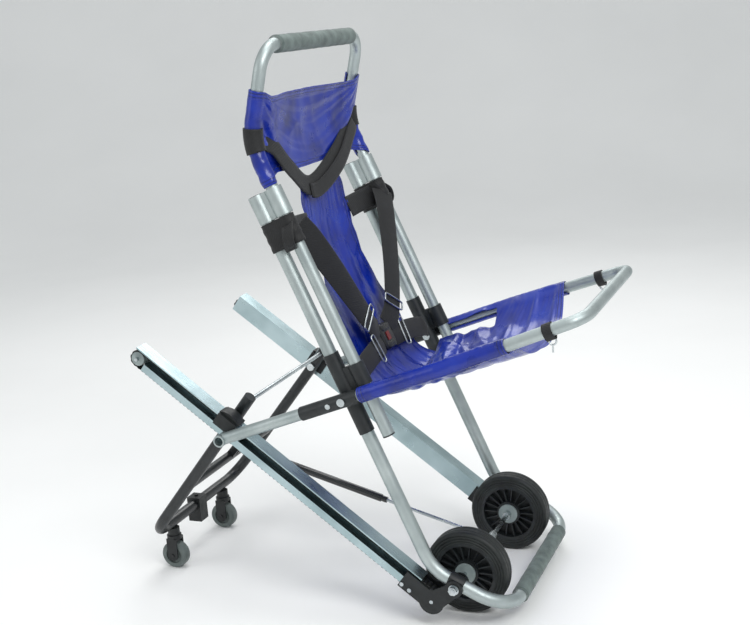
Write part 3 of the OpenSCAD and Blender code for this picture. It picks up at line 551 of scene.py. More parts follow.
def foam():
    """Closed-cell foam grip: dull grey-green skin with 1 mm pores."""
    material, tree, shader = surface("closed-cell foam", Roughness=0.85, Sheen_Weight=0.15)
    if tree is None:
        return material
    place = add(tree, "ShaderNodeTexCoord").outputs["Object"]
    pores = add(tree, "ShaderNodeTexVoronoi", {"Vector": place, "Scale": 700.0}).outputs["Distance"]
    skin = ramp(tree, noise(tree, 22), (0.3, "#4C5855"), (0.7, "#6C7A76"))
    tree.links.new(skin, shader.inputs["Base Color"])
    bump(tree, shader, pores, 0.45, 0.5, bump(tree, shader, noise(tree, 6), 0.3, 0.5))
    return material


FINISHES = {
    "tube_silver": satin_tube,
    "rail_silver": anodised_rail,
    "sleeve_black": lambda: plain_finish("moulded polyamide sleeve", "#141719", "#23282A", 0.42),
    "cast_black": lambda: plain_finish("moulded glass-filled nylon", "#101314", "#1E2223", 0.5,
                                       grain_mm=1.0),
    "stand_black": lambda: plain_finish("black powder coat", "#0F1213", "#1D2224", 0.33, grain_mm=2.2,
                                        depth_mm=0.2, Coat_Weight=0.2),
    "steel": lambda: plain_finish("zinc-plated steel", "#A7AFB2", "#D5DBDD", 0.26, metallic=1.0,
                                  grain_mm=3.0, depth_mm=0.05),
    "webbing_black": webbing,
    "coated_blue": coated_cloth,
    "foam_grey": foam,
    "buckle_black": lambda: plain_finish("moulded acetal", "#0C0D0F", "#191B1E", 0.3, depth_mm=0.06),
    "tongue_steel": lambda: plain_finish("pressed steel plate", "#9FA5A8", "#C9CED0", 0.3, metallic=1.0,
                                         depth_mm=0.05),
    "button_red": lambda: plain_finish("moulded red acetal", "#5E1414", "#7A1C1A", 0.35, depth_mm=0.06),
    "tyre_black": lambda: plain_finish("solid rubber", "#101313", "#1F2524", 0.55, grain_mm=2.5,
                                       depth_mm=0.3, strength=0.4),
    "bush_grey": lambda: plain_finish("moulded grey nylon", "#7F8B8B", "#9BA7A6", 0.42),
    "belt_rubber": lambda: plain_finish("moulded neoprene", "#0E1010", "#1A1D1D", 0.6, grain_mm=1.2,
                                        depth_mm=0.25),
    "caster_grey": lambda: plain_finish("grey elastomer tread", "#4C5554", "#69726F", 0.5),
    "gas_black": lambda: plain_finish("gloss black lacquer", "#0D0F10", "#181B1D", 0.2, depth_mm=0.04,
                                      Coat_Weight=0.5),
}


def finish(slot_name):
    """The material for one of the record's slots."""
    return FINISHES[slot_name]()


def put(piece, body, slot_name, *nodes):
    """Rides the piece on its body and hides the CAD nodes it stands for; slot_name is not used."""
    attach(piece, body)
    if nodes:
        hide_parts(*nodes)
    return piece


def handle_centre(h):
    """Middle of the handle tube h above its knee, and its forward direction there. Within the bend
    the tube follows a parabola between the two straight parts."""
    reach = KNEE_BEND * math.tan(math.acos(float(BACK_UP @ HEAD_UP)) / 2)
    knee = PIVOT + HANDLE_GAP * BACK_OUT + KNEE_T * BACK_UP
    f = np.clip((h + reach) / (2 * reach), 0, 1)[:, None]
    bent = (1 - f) ** 2 * (-reach * BACK_UP) + f ** 2 * (reach * HEAD_UP)
    straight = np.minimum(h + reach, 0)[:, None] * BACK_UP + np.maximum(h - reach, 0)[:, None] * HEAD_UP
    tangent = unit((1 - f) * BACK_UP + f * HEAD_UP)
    return knee + bent + straight, np.cross(ACROSS, tangent)


def build_headrest(cloth):
    """A panel between the handle tubes whose side sleeves wrap them, crumpled below the knee. The
    panel's lower edge is cut in an arch above the sleeves' ends."""
    rows, wraps, spans = 66, 16, 64
    h = np.linspace(-0.098, 0.102, rows)
    centre, forward = handle_centre(h)
    y, n, held = sling_section(np.full(rows, FRAME_Y), HANDLE_R + 0.0032, 0.016, -150, wraps, spans)
    middle = 1 - np.abs(y) / FRAME_Y
    arch = np.clip(middle * 4, 0, 1)
    low = -0.098 + 0.026 * arch ** 0.7
    v = (h[:, None] - h[0]) / (h[-1] - h[0])
    height = low + v * (h[-1] - low)
    spot, out = handle_centre(height.ravel())
    spot, out = spot.reshape(rows, -1, 3), out.reshape(rows, -1, 3)
    panel = (1 - held) * 0.0028 * np.clip(middle * 5, 0, 1)
    crumple = np.where(height < 0, 1.0, 0.3) * 0.0020 * held + panel
    sleeve_folds = creases(y + n, height, 3, 0.045)
    n = n + crumple * np.where(held > 0.5, sleeve_folds, creases(y, height * 0.8, 4, 0.13))
    points = spot + out * n[..., None] + ACROSS * y[..., None]
    edge = np.minimum(height - low, h[-1] - height)
    piece = grid_piece("headrest_cloth", points, finish("coated_blue"), hem=edge, solid=CLOTH_WALL,
                       smooth_levels=1)
    settle(piece, held.ravel(), cloth.slack, SETTLE_FRAMES, SETTLE_CAP)
    put(piece, "handle", "coated_blue", "headrest_sling")


def build_back(cloth):
    """A waisted strip that hangs between the tubes, curves forward at its foot as a cubic curve and
    lies on the seat cloth's rear edge."""
    rows, columns = 110, 56
    split = 0.74
    s = np.linspace(0, 1, rows)
    t = np.interp(s, [0, split], [0.430, 0.105])
    place = [0.0, 0.03, 0.3, 0.5, split, 1.0]
    half = np.interp(s, place, [0.098, 0.110, 0.105, 0.117, 0.146, 0.178])
    half = np.convolve(np.pad(half, 4, mode="edge"), np.ones(9) / 9, mode="valid")
    depth = np.interp(s, place, [0.029, 0.027, 0.006, 0.004, 0.010, 0.010])
    depth = np.convolve(np.pad(depth, 6, mode="edge"), np.ones(13) / 13, mode="valid")
    u = np.linspace(-1, 1, columns)[None, :]
    y = half[:, None] * u
    sink = 0.010 * (1 - u ** 2)
    upper = back_point(depth[:, None] - sink, y, t[:, None])
    slope = 2 * math.atan(SEAT_SAG / SEAT_Y)
    arc = SEAT_Y / math.sin(slope)
    seat_n = -SEAT_SAG + arc - np.sqrt(arc ** 2 - y ** 2) + 0.003
    f = np.clip((s - split) / (0.92 - split), 0, 1)[:, None, None]
    start = back_point(0.010 - sink, y, 0.105)
    end = seat_point(0.058, y, seat_n)
    bend = ((1 - f) ** 3 * start + 3 * (1 - f) ** 2 * f * (start - 0.062 * BACK_UP)
            + 3 * (1 - f) * f ** 2 * (end - 0.060 * SEAT_ON) + f ** 3 * end)
    lie = np.clip((s - 0.92) / 0.08, 0, 1)[:, None, None] * 0.034 * SEAT_ON
    points = np.where((s <= split)[:, None, None], upper, bend + lie)
    normal = unit(np.cross(np.gradient(points, axis=1), np.gradient(points, axis=0)))
    run = np.concatenate([[0], np.cumsum(np.linalg.norm(np.diff(points[:, columns // 2], axis=0), axis=1))])
    amount = 0.0035 * np.clip(s / 0.1, 0, 1) * np.clip((0.92 - s) / 0.15, 0, 1)
    ripple = creases(y * 1.5, run[:, None] * 0.3, 11, 0.10) + 0.5 * creases(y, run[:, None], 5, 0.15)
    points = points + normal * (amount[:, None] * ripple)[..., None]
    edge = np.minimum(half[:, None] * (1 - np.abs(u)), np.minimum(run, run[-1] - run)[:, None])
    piece = grid_piece("back_cloth", points, finish("coated_blue"), hem=edge, solid=CLOTH_WALL,
                       smooth_levels=1)
    ends = np.maximum(np.clip(1 - s / 0.05, 0, 1), np.clip((s - 0.86) / 0.06, 0, 1))
    held = ends[:, None] * np.ones((1, columns))
    held[(s > 0.14) & (s < 0.32)] += (np.abs(u) > 0.97) * 1.0
    settle(piece, np.clip(held, 0, 1).ravel(), cloth.slack * 0.8, SETTLE_FRAMES, SETTLE_CAP)
    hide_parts("back_sling")
    tuple(back_point(0.01, 0.0, 0.03))
    tuple(seat_point(0.05, 0.0, -0.06))
    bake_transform(piece)


def seat_tube_y(t):
    """Distance of the seat tube from the mid-plane: parallel, then closing in to the front."""
    share = np.clip((t - TAPER_START) / (SEAT_LEN - TAPER_START), 0, 1)
    return SEAT_Y - share * (SEAT_Y - SEAT_FRONT_Y)


def build_seat(cloth):
    """A sling rolled round both seat tubes, with a slot at each side where the handle tube passes.
    Folds run down from the rolls and meet in a crumpled patch at the rear."""
    rows, wraps, spans = 84, 15, 74
    t = np.linspace(0.038, 0.356, rows)
    y, n, held = sling_section(seat_tube_y(t), SEAT_R + 0.0034, SEAT_SAG, -155, wraps, spans)
    middle = np.clip(1 - np.abs(y) / SEAT_Y, 0, 1)
    amount = (1 - held) * np.clip(middle * 5, 0, 1)
    rear = np.exp(-((t[:, None] - 0.12) / 0.09) ** 2)
    folds = 0.0050 * creases(y * 0.4, t[:, None] * 1.1, 21, 0.11)
    folds = folds + 0.0045 * rear * creases(y, t[:, None], 8, 0.07)
    roll = 0.0012 * held * creases(y, t[:, None], 31, 0.03)
    n = n + amount * folds + np.abs(roll)
    droop = np.clip(middle * 2, 0, 1) * np.clip((t[:, None] - 0.31) / 0.05, 0, 1) * 0.006
    points = seat_point(t[:, None] + 0 * y, y, n - droop)
    inboard = np.minimum(seat_tube_y(t)[:, None] - SEAT_R - 0.004, 10.0)
    beyond = (np.abs(y) > SLOT_Y) & (np.abs(y) < inboard)
    slot = (t[:, None] < SLOT_END) & beyond & (n > -0.05) & (held < 0.5)
    keep = ~slot
    edge = np.minimum(t - t[0], t[-1] - t)[:, None] * np.ones_like(y)
    near_slot = (t[:, None] < SLOT_END + 0.004) & (held < 0.5)
    beside = np.where(near_slot, np.abs(SLOT_Y - np.abs(y)), NO_HEM)
    piece = grid_piece("seat_cloth", points, finish("coated_blue"), keep=keep[:-1, :-1],
                       hem=np.minimum(edge, beside), solid=CLOTH_WALL, smooth_levels=1)
    current = points_of(piece)
    local = current - PIVOT
    along, side = local @ SEAT_ON, np.abs(local @ ACROSS)
    above = local @ SEAT_UP
    gap = np.hypot(side - seat_tube_y(along), above) - (SEAT_R + 0.006)
    fixed = np.clip(1 - gap / 0.02, 0, 1)
    fixed = np.maximum(fixed, (along < 0.1) * np.clip((0.1 - along) / 0.03, 0, 1))
    settle(piece, fixed, cloth.slack, SETTLE_FRAMES, SETTLE_CAP)
    put(piece, "seat", "coated_blue", "seat_sling")


# ---- Webbing ----
def wrap_loop(n_far, radius, t, side, turns=64):
    """A closed line round the back tube and the handle tube together, at height t: a circle whose
    front half is moved forward by the distance between the tubes."""
    a = np.linspace(0, 2 * math.pi, turns, endpoint=False)
    n = np.where(np.cos(a) > 0, n_far, 0.0) + radius * np.cos(a)
    y = FRAME_Y + radius * np.sin(a)
    return n, side * y, np.full(turns, t)


def build_anchor_webbing():
    """Webbing wrapped in three turns round each pair of tubes, with a tab to the back cloth's edge
    and a slack loop outboard."""
    black = finish("webbing_black")
    strips = []
    t = np.linspace(ANCHOR_LOW, ANCHOR_HIGH, 22)
    turn = 2 * math.pi * 3 * (t - t[0]) / (t[-1] - t[0])
    for side in (-1, 1):
        reach = TUBE_R + 0.0024 + 0.0006 * np.sin(turn)
        loops = np.array([np.stack(wrap_loop(HANDLE_GAP, r, z, side), -1) for z, r in zip(t, reach)])
        points = back_point(loops[..., 0], loops[..., 1], loops[..., 2])
        strips.append(grid_piece("wrap", points, black, wrap_columns=True, solid=0.002,
                                 hem=np.minimum(t - t[0], t[-1] - t)[:, None]))
        tab = smooth_path([back_point(0.016, side * 0.103, 0.352), back_point(0.020, side * 0.150, 0.354),
                           back_point(0.026, side * 0.200, 0.355),
                           back_point(0.030, side * 0.232, 0.355)], 20)
        v = np.linspace(-0.024, 0.024, 7)
        body = tab[:, None] + v[None, :, None] * BACK_UP
        strips.append(grid_piece("tab", body, black, solid=0.002, hem=0.024 - np.abs(v)))
        bow = smooth_path([back_point(0.044, side * 0.254, 0.368), back_point(0.046, side * 0.272, 0.352),
                           back_point(0.040, side * 0.276, 0.330),
                           back_point(0.030, side * 0.258, 0.316)], 24)
        w = np.linspace(-0.013, 0.013, 5)
        strips.append(grid_piece("bow", bow[:, None] + w[None, :, None] * BACK_OUT, black, solid=0.002,
                                 hem=0.013 - np.abs(w)))
    put(joined("anchor_webbing", strips), "main_frame", "webbing_black", "anchor_straps")


def shoulder_path(side):
    """Middle line of a shoulder belt from the wrapped webbing to the buckle's upper corner, and the
    way its flat side faces: the right belt turns outboard as it rises, the left one lies flatter."""
    path = smooth_path([back_point(0.050, side * 0.232, 0.356), back_point(0.052, side * 0.206, 0.318),
                        back_point(0.046, side * 0.160, 0.245), back_point(0.036, side * 0.112, 0.170),
                        back_point(0.024, side * 0.064, 0.106), back_point(0.014, side * 0.026, 0.078)], 70)
    share = np.linspace(0, 1, len(path))[:, None]
    turn = 0.75 if side < 0 else -0.25
    return path, BACK_OUT * (0.55 + 0.6 * share) + ACROSS * side * (turn - 0.93 * turn * share)


def lap_path(side):
    """Middle line of a lap belt from the buckle's side to the seat pivot."""
    return smooth_path([back_point(0.012, side * 0.030, 0.052), back_point(0.018, side * 0.080, 0.048),
                        back_point(0.018, side * 0.150, 0.038), back_point(0.014, side * 0.206, 0.026),
                        back_point(0.004, side * 0.222, 0.022)], 50)


def build_belts():
    """Two shoulder belts that turn outboard as they rise, and two lap belts to the pivots."""
    black = finish("webbing_black")
    for side, name in ((1, "left"), (-1, "right")):
        path, face = shoulder_path(side)
        belt = ribbon_piece("shoulder_webbing_" + name, [path], [face], 0.058, black, crown=0.002)
        put(belt, "main_frame", "webbing_black", "shoulder_belt_" + name)
    paths = [lap_path(side) for side in (1, -1)]
    faces = [BACK_OUT, BACK_OUT]
    put(ribbon_piece("lap_webbing", paths, faces, 0.048, black, crown=0.003), "main_frame", "webbing_black",
        "lap_belt")


def build_head_strap():
    """A patch of webbing round each sleeve at the knee, and a strap that hangs between them."""
    black = finish("webbing_black")
    strips = []
    h = np.linspace(-0.026, 0.026, 14)
    centre, out = handle_centre(h)
    a = np.linspace(0, 2 * math.pi, 40, endpoint=False)
    for side in (-1, 1):
        r = HANDLE_R + 0.0062
        ring = r * (out[:, None] * np.cos(a)[None, :, None] + side * ACROSS * np.sin(a)[None, :, None])
        points = centre[:, None] + ring + side * FRAME_Y * ACROSS
        strips.append(grid_piece("patch", points, black, wrap_columns=True, solid=0.002,
                                 hem=np.minimum(h - h[0], h[-1] - h)[:, None]))
    knee = PIVOT + HANDLE_GAP * BACK_OUT + KNEE_T * BACK_UP
    low = knee + np.array([0.034, -0.045, -0.118])
    for drop, lean in ((0.0, 0.0), (0.012, 0.006)):
        near = knee + np.array([0.020 + lean, -0.226, 0.0 - drop])
        far = knee + np.array([0.020 + lean, 0.226, 0.0 - drop])
        shift = np.array([lean, 0.0, -drop])
        path = smooth_path([near, near + np.array([0.006, 0.035, -0.018]),
                            0.5 * (near + low) + [0.006, 0, -0.012],
                            low + shift, 0.5 * (far + low) + [0.006, 0, -0.014] + shift,
                            far + np.array([0.006, -0.035, -0.020]), far], 60)
        if drop:
            path = path[28:]
        strips.append(ribbon_strip(path, np.array([1.0, 0.0, 0.25]), 0.044 - drop, black))
    put(joined("head_webbing", strips), "handle", "webbing_black", "head_strap")


def ribbon_strip(path, face, width, material):
    """One strap of the given width along a path."""
    _, side, _ = ring_frames(path, face)
    v = np.linspace(-0.5, 0.5, 7)
    return grid_piece("strap", path[:, None] + side[:, None] * (v * width)[None, :, None], material,
                      solid=0.002, hem=(0.5 - np.abs(v)) * width)


def build_front_loops():
    """A webbing loop round each seat tube near the front, which carries the snap ring."""
    black = finish("webbing_black")
    strips = []
    t = np.linspace(0.431, 0.449, 8)
    a = np.linspace(0, 2 * math.pi, 32, endpoint=False)
    for side in (-1, 1):
        y = side * (seat_tube_y(t)[:, None] + (SEAT_R + 0.0022) * np.cos(a)[None, :])
        n = (SEAT_R + 0.0022) * np.sin(a)[None, :] - 0.004 * np.clip(-np.sin(a), 0, 1)[None, :] ** 3
        strips.append(grid_piece("loop", seat_point(t[:, None] + 0 * y, y, n + 0 * y), black,
                                 wrap_columns=True, solid=0.0018))
    put(joined("front_loops", strips), "seat", "webbing_black")


# ---- Buckle ----
def rounded_block(centre, axes, halves, power, material, name, steps=(28, 48)):
    """A superellipsoid: each coordinate is its half size times cosine and sine raised to a power
    below 1, which squares the block and rounds its edges."""
    p = np.linspace(-math.pi / 2, math.pi / 2, steps[0])[:, None]
    q = np.linspace(0, 2 * math.pi, steps[1], endpoint=False)[None, :]

    def lift(v):
        return np.sign(v) * np.abs(v) ** power

    x = halves[0] * lift(np.sin(p)) + 0 * q
    y = halves[1] * lift(np.cos(p)) * lift(np.cos(q))
    z = halves[2] * lift(np.cos(p)) * lift(np.sin(q))
    points = centre + mix((x, axes[0]), (y, axes[1]), (z, axes[2]))
    return outward(grid_piece(name, points, material, wrap_columns=True))


def build_buckle():
    """The buckle's moulded shell, with a raised rim, and four strap adjusters round it."""
    black = finish("buckle_black")
    axes = (BACK_OUT, ACROSS, BACK_UP)
    middle = back_point(BUCKLE_N + 0.003, 0.0, BUCKLE_T)
    face = middle + 0.0072 * BACK_OUT
    parts = [rounded_block(middle, axes, (0.009, 0.030, 0.030), 0.42, black, "shell"),
             rounded_block(face + 0.020 * BACK_UP, axes, (0.004, 0.021, 0.008), 0.5, black, "brow"),
             rounded_block(face - 0.020 * BACK_UP, axes, (0.004, 0.021, 0.008), 0.5, black, "lip")]
    put(joined("buckle_shell", parts), "main_frame", "buckle_black", "buckle_body")
    frames = []
    for side in (-1, 1):
        belt, face = shoulder_path(side)
        frames.append(adjuster(belt, face, 52))
        frames.append(adjuster(lap_path(side), BACK_OUT, 12))
    put(joined("strap_adjusters", frames), "main_frame", "tongue_steel")


def adjuster(path, face, at):
    """A wire frame that a strap threads through, at one point of the strap's path: a rounded
    rectangle whose corners are powers of cosine and sine, bowed over the strap."""
    tangent, width, lift = (axis[at] for axis in ring_frames(path, face))
    a = np.linspace(0, 2 * math.pi, 48, endpoint=False)
    x = 0.032 * np.sign(np.cos(a)) * np.abs(np.cos(a)) ** 0.35
    z = 0.010 * np.sign(np.sin(a)) * np.abs(np.sin(a)) ** 0.35
    return tube_piece("adjuster", path[at] + 0.0045 * lift + mix((x, width), (z, tangent)), 0.0021,
                      finish("tongue_steel"), sides=10, closed=True)


# ---- Foam, rubber ----
def turned_piece(name, centre, axis, radii, places, material, sides=64):
    """A turned shape about an axis through the centre: radius radii[i] at distance places[i]."""
    helper = np.array([0.0, 0.0, 1.0]) if abs(axis[2]) < 0.9 else np.array([1.0, 0.0, 0.0])
    first = unit(np.cross(axis, helper))
    second = np.cross(axis, first)
    a = np.linspace(0, 2 * math.pi, sides, endpoint=False)
    ring = first[None] * np.cos(a)[:, None] + second[None] * np.sin(a)[:, None]
    along = np.asarray(places)[:, None, None] * axis
    points = centre + along + np.asarray(radii)[:, None, None] * ring[None]
    return grid_piece(name, points, material, wrap_columns=True)


def build_grips():
    """Foam grips: a sleeve with rolled ends and a slightly uneven skin."""
    for name, node, body in (("push_grip_foam", "handle_grip", "handle"),
                             ("foot_grip_foam", "foot_grip", "main_frame")):
        low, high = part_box(node)
        centre = np.array((low + high) / 2)
        half, outer = (high.y - low.y) / 2, (high.z - low.z) / 2
        inner = HANDLE_R if body == "handle" else TUBE_R
        u = np.linspace(-1, 1, 90)
        roll = np.sqrt(np.clip(1 - np.clip((np.abs(u) - 1) * half / (outer - inner) + 1, 0, 1) ** 2, 0, 1))
        uneven = 0.0003 * (1 + np.sin(u * 23) * np.sin(u * 9 + 1))
        skin = inner + (outer - inner) * np.maximum(roll, 0.02) - uneven
        radii = np.concatenate([[inner + 0.0002], skin, [inner + 0.0002]])
        places = np.concatenate([[-half], u * half, [half]])
        piece = outward(turned_piece(name, centre, ACROSS, radii, places, finish("foam_grey"), 48))
        put(piece, body, "foam_grey", node)


def build_tyres():
    """Solid tyres: a closed profile turned round the axle, with a crowned tread, two tread grooves
    and three moulded rings on each side wall."""
    for name in ("left", "right"):
        low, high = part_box("tyre_" + name)
        centre = np.array((low + high) / 2)
        outer, half = (high.z - low.z) / 2, (high.y - low.y) / 2
        inner = outer - 0.024
        u = np.linspace(0, 1, 30)
        wall_r = inner + u * (outer - 0.008 - inner)
        wall_w = half - 0.0006 - 0.0012 * np.exp(-((wall_r - inner - 0.003) / 0.0012) ** 2) \
            - 0.0016 * np.exp(-((wall_r - inner - 0.0085) / 0.0013) ** 2) \
            - 0.0012 * np.exp(-((wall_r - inner - 0.0145) / 0.0010) ** 2)
        corner = np.linspace(0, math.pi / 2, 10)[1:]
        edge_r, edge_w = outer - 0.008 + 0.008 * np.sin(corner), half - 0.008 + 0.008 * np.cos(corner)
        w = np.linspace(half - 0.008, -(half - 0.008), 41)[1:-1]
        tread = outer - 0.0010 * np.exp(-((np.abs(w) - 0.0065) / 0.0010) ** 2)
        radii = np.concatenate([[inner], wall_r, edge_r, tread, edge_r[::-1], wall_r[::-1], [inner]])
        places = np.concatenate([[0.0], wall_w, edge_w, w, -edge_w[::-1], -wall_w[::-1], [0.0]])
        piece = outward(turned_piece("tyre_rubber_" + name, centre, ACROSS, radii, places,
                                     finish("tyre_black"), 112))
        put(piece, "wheel_" + name, "tyre_black", "tyre_" + name)


def build_track_belts():
    """Ribbed belts: a loop of two half circles and two straight runs, whose outside rises in a rib
    every 11 mm."""
    for name in ("left", "right"):
        low = np.array(JOINTS["pulley_lower_" + name + "_spin"]["pos_m"])
        high = np.array(JOINTS["pulley_upper_" + name + "_spin"]["pos_m"])
        box_low, box_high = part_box("track_belt_" + name)
        pulley_low, pulley_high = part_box("pulley_upper_" + name)
        inner = (pulley_high.z - pulley_low.z) / 2 + 0.0004
        along = unit(high - low)
        down = np.array([-along[2], 0.0, along[0]])
        straight, turn = np.linalg.norm(high - low), math.pi * inner
        total = 2 * (straight + turn)
        count = 158
        s = np.linspace(0, total, count * 7, endpoint=False)
        leg = s % (total / 2)
        far = s >= total / 2
        angle = np.clip((leg - straight) / inner, 0, math.pi)
        x = np.where(leg < straight, leg, straight)
        flip = np.where(far, -1.0, 1.0)
        out = flip[:, None] * (np.cos(angle)[:, None] * down + np.sin(angle)[:, None] * along)
        base = np.where(far[:, None], high - x[:, None] * along, low + x[:, None] * along)
        rib = 1 / (1 + np.exp(-9 * np.sin(2 * math.pi * s * count / total)))
        half = (box_high.y - box_low.y) / 2
        middle = (box_high.y + box_low.y) / 2
        thick = 0.0014 + 0.0015 * rib
        ring = [(0 * s, -half), (0 * s, half), (thick * 0.6, half), (thick, half - 0.0015),
                (thick, 0 * s), (thick, -half + 0.0015), (thick * 0.6, -half)]
        columns = [base + out * (inner + lift)[:, None] + ACROSS * (middle - low[1] + side + 0 * s)[:, None]
                   for lift, side in ring]
        piece = outward(grid_piece("ribbed_belt_" + name, np.stack(columns, 1), finish("belt_rubber"),
                                   wrap_rows=True, wrap_columns=True))
        for polygon in piece.data.polygons:
            polygon.use_smooth = False
        put(piece, "tracks", "belt_rubber", "track_belt_" + name)


def build_finishes():
    """Gives every CAD node the finish of its slot in the record."""
    for part in frame["record"]["subparts"]:
        node = frame["nodes"][part["node"]]
        node.data.materials.clear()
        node.data.materials.append(finish(part["material_slot"]))


# ---- Stage ----
# Each lamp's name, place and size in metres, and power in watts
LAMPS = (("key", (1.9, -1.6, 2.6), 1.3, 46), ("fill", (-2.4, -2.2, 1.8), 2.0, 14),
         ("rear", (-0.6, 2.4, 2.8), 1.6, 26), ("top", (0.2, 0.1, 3.4), 1.6, 26))


def build_stage(stage):
    """A pale floor that curves up into the backdrop, three soft lights and the camera."""
    low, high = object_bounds()
    x = np.linspace(-9, 9, 40)
    d = np.concatenate([np.linspace(-8, 4, 30), 4 + 3 * np.sin(np.linspace(0, math.pi / 2, 20)), [7.0]])
    z = np.concatenate([np.zeros(30), 3 - 3 * np.cos(np.linspace(0, math.pi / 2, 20)), [9.0]])
    yaw = math.radians(stage.yaw)
    right = np.array([math.cos(yaw), math.sin(yaw), 0.0])
    into = np.array([-math.sin(yaw), math.cos(yaw), 0.0])
    points = mix((np.broadcast_to(x[None, :], (len(d), 40)), right),
                 (np.broadcast_to(d[:, None], (len(d), 40)), into),
                 (np.broadcast_to(z[:, None], (len(d), 40)), np.array([0.0, 0.0, 1.0])))
    points[..., 2] += low.z - 0.0005
    paper, tree, shader = surface("matt backdrop paper", Roughness=0.9)
    if tree is not None:
        tone = ramp(tree, noise(tree, 900), (0.3, "#F6F6F5"), (0.7, "#FBFBFA"))
        tree.links.new(tone, shader.inputs["Base Color"])
    floor = grid_piece("backdrop", points, paper)
    floor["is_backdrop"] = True
    world = bpy.context.scene.world or bpy.data.worlds.new("studio")
    bpy.context.scene.world = world
    world.use_nodes = True
    world.node_tree.nodes["Background"].inputs[0].default_value = linear("#F2F6F8")
    world.node_tree.nodes["Background"].inputs[1].default_value = stage.ambient
    for name, spot, size, power in LAMPS:
        light = bpy.data.lights.new(name, "AREA")
        light.size = size
        light.energy = power
        lamp = bpy.data.objects.new(name, light)
        lamp.location = spot
        lamp.rotation_euler = (Vector((0, 0, 0.55)) - Vector(spot)).to_track_quat("-Z", "Y").to_euler()
        bpy.context.scene.collection.objects.link(lamp)
    pitch, roll = math.radians(stage.pitch), math.radians(stage.roll)
    look = into * math.cos(pitch) - np.array([0.0, 0.0, math.sin(pitch)])
    up = np.cross(right, look)
    side = math.cos(roll) * right + math.sin(roll) * up
    top = -math.sin(roll) * right + math.cos(roll) * up
    lens = bpy.data.cameras.new("camera")
    lens.lens = stage.lens
    lens.sensor_width = 36
    camera = bpy.data.objects.new("camera", lens)
    axes = [[side[i], top[i], -look[i], stage.place[i]] for i in range(3)]
    camera.matrix_world = Matrix(axes + [[0, 0, 0, 1]])
    bpy.context.scene.collection.objects.link(camera)
    bpy.context.scene.camera = camera
    bpy.context.scene.view_settings.view_transform = "Standard"


# ---- Add-on ----
class StairChairCloth(bpy.types.PropertyGroup):
    """Colours and slack of the coated cloth."""
    blue: bpy.props.StringProperty(name="Blue", description="Main colour of the cloth", default="#0C2792")
    shade: bpy.props.StringProperty(name="Shade", description="Darker patches of the cloth",
                                    default="#091A68")
    light: bpy.props.StringProperty(name="Light", description="Lighter patches of the cloth",
                                    default="#1536A6")
    thread: bpy.props.StringProperty(name="Thread", description="Colour of the stitches",
                                     default="#0A1440")
    slack: bpy.props.FloatProperty(name="Slack", description="Spare cloth as a share of the span",
                                   default=0.030,
                                   min=0.0, max=0.1)


class StairChairStage(bpy.types.PropertyGroup):
    """Camera and light."""
    place: bpy.props.FloatVectorProperty(name="Place", description="Place of the camera",
                                         subtype="TRANSLATION",
                                         unit="LENGTH", default=(1.0362, -2.4647, 1.2365))
    yaw: bpy.props.FloatProperty(name="Yaw", description="Turn of the view, in degrees", default=22.75)
    pitch: bpy.props.FloatProperty(name="Pitch", description="Downward tilt, in degrees", default=13.4)
    roll: bpy.props.FloatProperty(name="Roll", description="Roll of the camera, in degrees",
                                  default=-4.22)
    lens: bpy.props.FloatProperty(name="Lens", description="Focal length in millimetres", default=60.13)
    ambient: bpy.props.FloatProperty(name="Ambient", description="Strength of the room's light",
                                     default=0.62)


class STAIRCHAIR_OT_stage(bpy.types.Operator):
    """Makes the floor, the lights and the camera"""
    bl_idname = "stair_chair.stage"
    bl_label = "Stage"

    def execute(self, context):
        build_stage(context.scene.stair_stage)
        return {"FINISHED"}


class STAIRCHAIR_OT_finishes(bpy.types.Operator):
    """Gives every frame part its finish"""
    bl_idname = "stair_chair.finishes"
    bl_label = "Finishes"

    def execute(self, context):
        build_finishes()
        return {"FINISHED"}


class STAIRCHAIR_OT_headrest(bpy.types.Operator):
    """Makes the headrest cloth"""
    bl_idname = "stair_chair.headrest"
    bl_label = "Headrest"

    def execute(self, context):
        build_headrest(context.scene.stair_cloth)
        return {"FINISHED"}


class STAIRCHAIR_OT_seat(bpy.types.Operator):
    """Makes the seat cloth"""
    bl_idname = "stair_chair.seat"
    bl_label = "Seat"

    def execute(self, context):
        build_seat(context.scene.stair_cloth)
        return {"FINISHED"}


class STAIRCHAIR_OT_back(bpy.types.Operator):
    """Makes the back cloth"""
    bl_idname = "stair_chair.back"
    bl_label = "Back"

    def execute(self, context):
        build_back(context.scene.stair_cloth)
        return {"FINISHED"}


class STAIRCHAIR_OT_webbing(bpy.types.Operator):
    """Makes the wrapped webbing, the belts, the head strap and the front loops"""
    bl_idname = "stair_chair.webbing"
    bl_label = "Webbing"

    def execute(self, context):
        build_anchor_webbing()
        build_belts()
        build_head_strap()
        build_front_loops()
        return {"FINISHED"}


class STAIRCHAIR_OT_buckle(bpy.types.Operator):
    """Makes the buckle shell and the strap adjusters"""
    bl_idname = "stair_chair.buckle"
    bl_label = "Buckle"

    def execute(self, context):
        build_buckle()
        return {"FINISHED"}


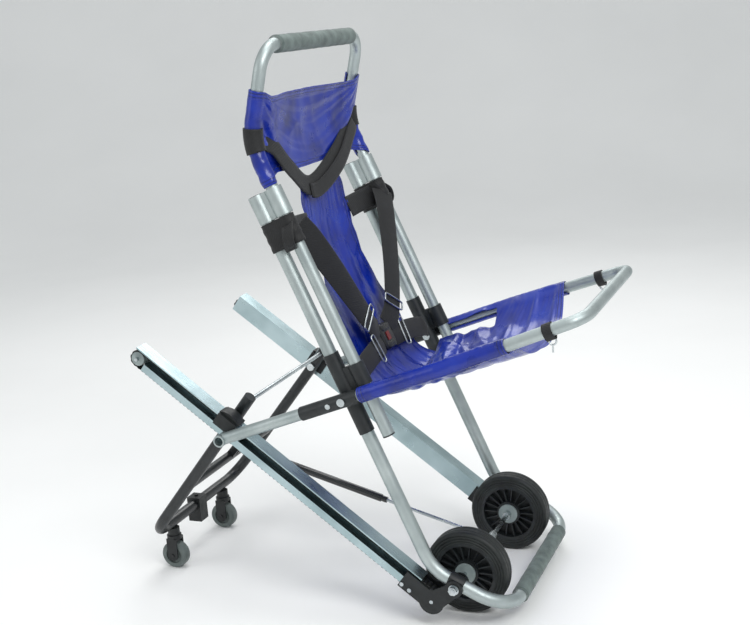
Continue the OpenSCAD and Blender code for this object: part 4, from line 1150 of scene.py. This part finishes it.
class STAIRCHAIR_OT_grips(bpy.types.Operator):
    """Makes the foam grips"""
    bl_idname = "stair_chair.grips"
    bl_label = "Foam grips"

    def execute(self, context):
        build_grips()
        return {"FINISHED"}


class STAIRCHAIR_OT_rubber(bpy.types.Operator):
    """Makes the tyres and the ribbed track belts"""
    bl_idname = "stair_chair.rubber"
    bl_label = "Tyres and track belts"

    def execute(self, context):
        build_tyres()
        build_track_belts()
        return {"FINISHED"}


OPERATORS = (STAIRCHAIR_OT_stage, STAIRCHAIR_OT_finishes, STAIRCHAIR_OT_headrest, STAIRCHAIR_OT_seat,
             STAIRCHAIR_OT_back, STAIRCHAIR_OT_webbing, STAIRCHAIR_OT_buckle, STAIRCHAIR_OT_grips,
             STAIRCHAIR_OT_rubber)


class STAIRCHAIR_PT_panel(bpy.types.Panel):
    """Lists the sizes, colours and steps of the stair chair"""
    bl_idname = "STAIRCHAIR_PT_panel"
    bl_label = "Stair chair"
    bl_space_type = "VIEW_3D"
    bl_region_type = "UI"
    bl_category = "Stair chair"

    def draw(self, context):
        for group in (context.scene.stair_cloth, context.scene.stair_stage):
            for name in group.__annotations__:
                self.layout.prop(group, name)
        for operator in OPERATORS:
            self.layout.operator(operator.bl_idname)


CLASSES = (StairChairCloth, StairChairStage, *OPERATORS, STAIRCHAIR_PT_panel)


def register():
    """Registers the classes and hangs the settings on the scene."""
    for item in CLASSES:
        bpy.utils.register_class(item)
    bpy.types.Scene.stair_cloth = bpy.props.PointerProperty(type=StairChairCloth)
    bpy.types.Scene.stair_stage = bpy.props.PointerProperty(type=StairChairStage)


def unregister():
    """Takes the settings and classes away again."""
    del bpy.types.Scene.stair_stage
    del bpy.types.Scene.stair_cloth
    for item in reversed(CLASSES):
        bpy.utils.unregister_class(item)


def main():
    register()
    bpy.ops.stair_chair.stage()
    bpy.ops.stair_chair.finishes()
    bpy.ops.stair_chair.headrest()
    bpy.ops.stair_chair.seat()
    bpy.ops.stair_chair.webbing()
    bpy.ops.stair_chair.back()
    bpy.ops.stair_chair.buckle()
    bpy.ops.stair_chair.grips()
    bpy.ops.stair_chair.rubber()


if __name__ == "__main__":
    main()
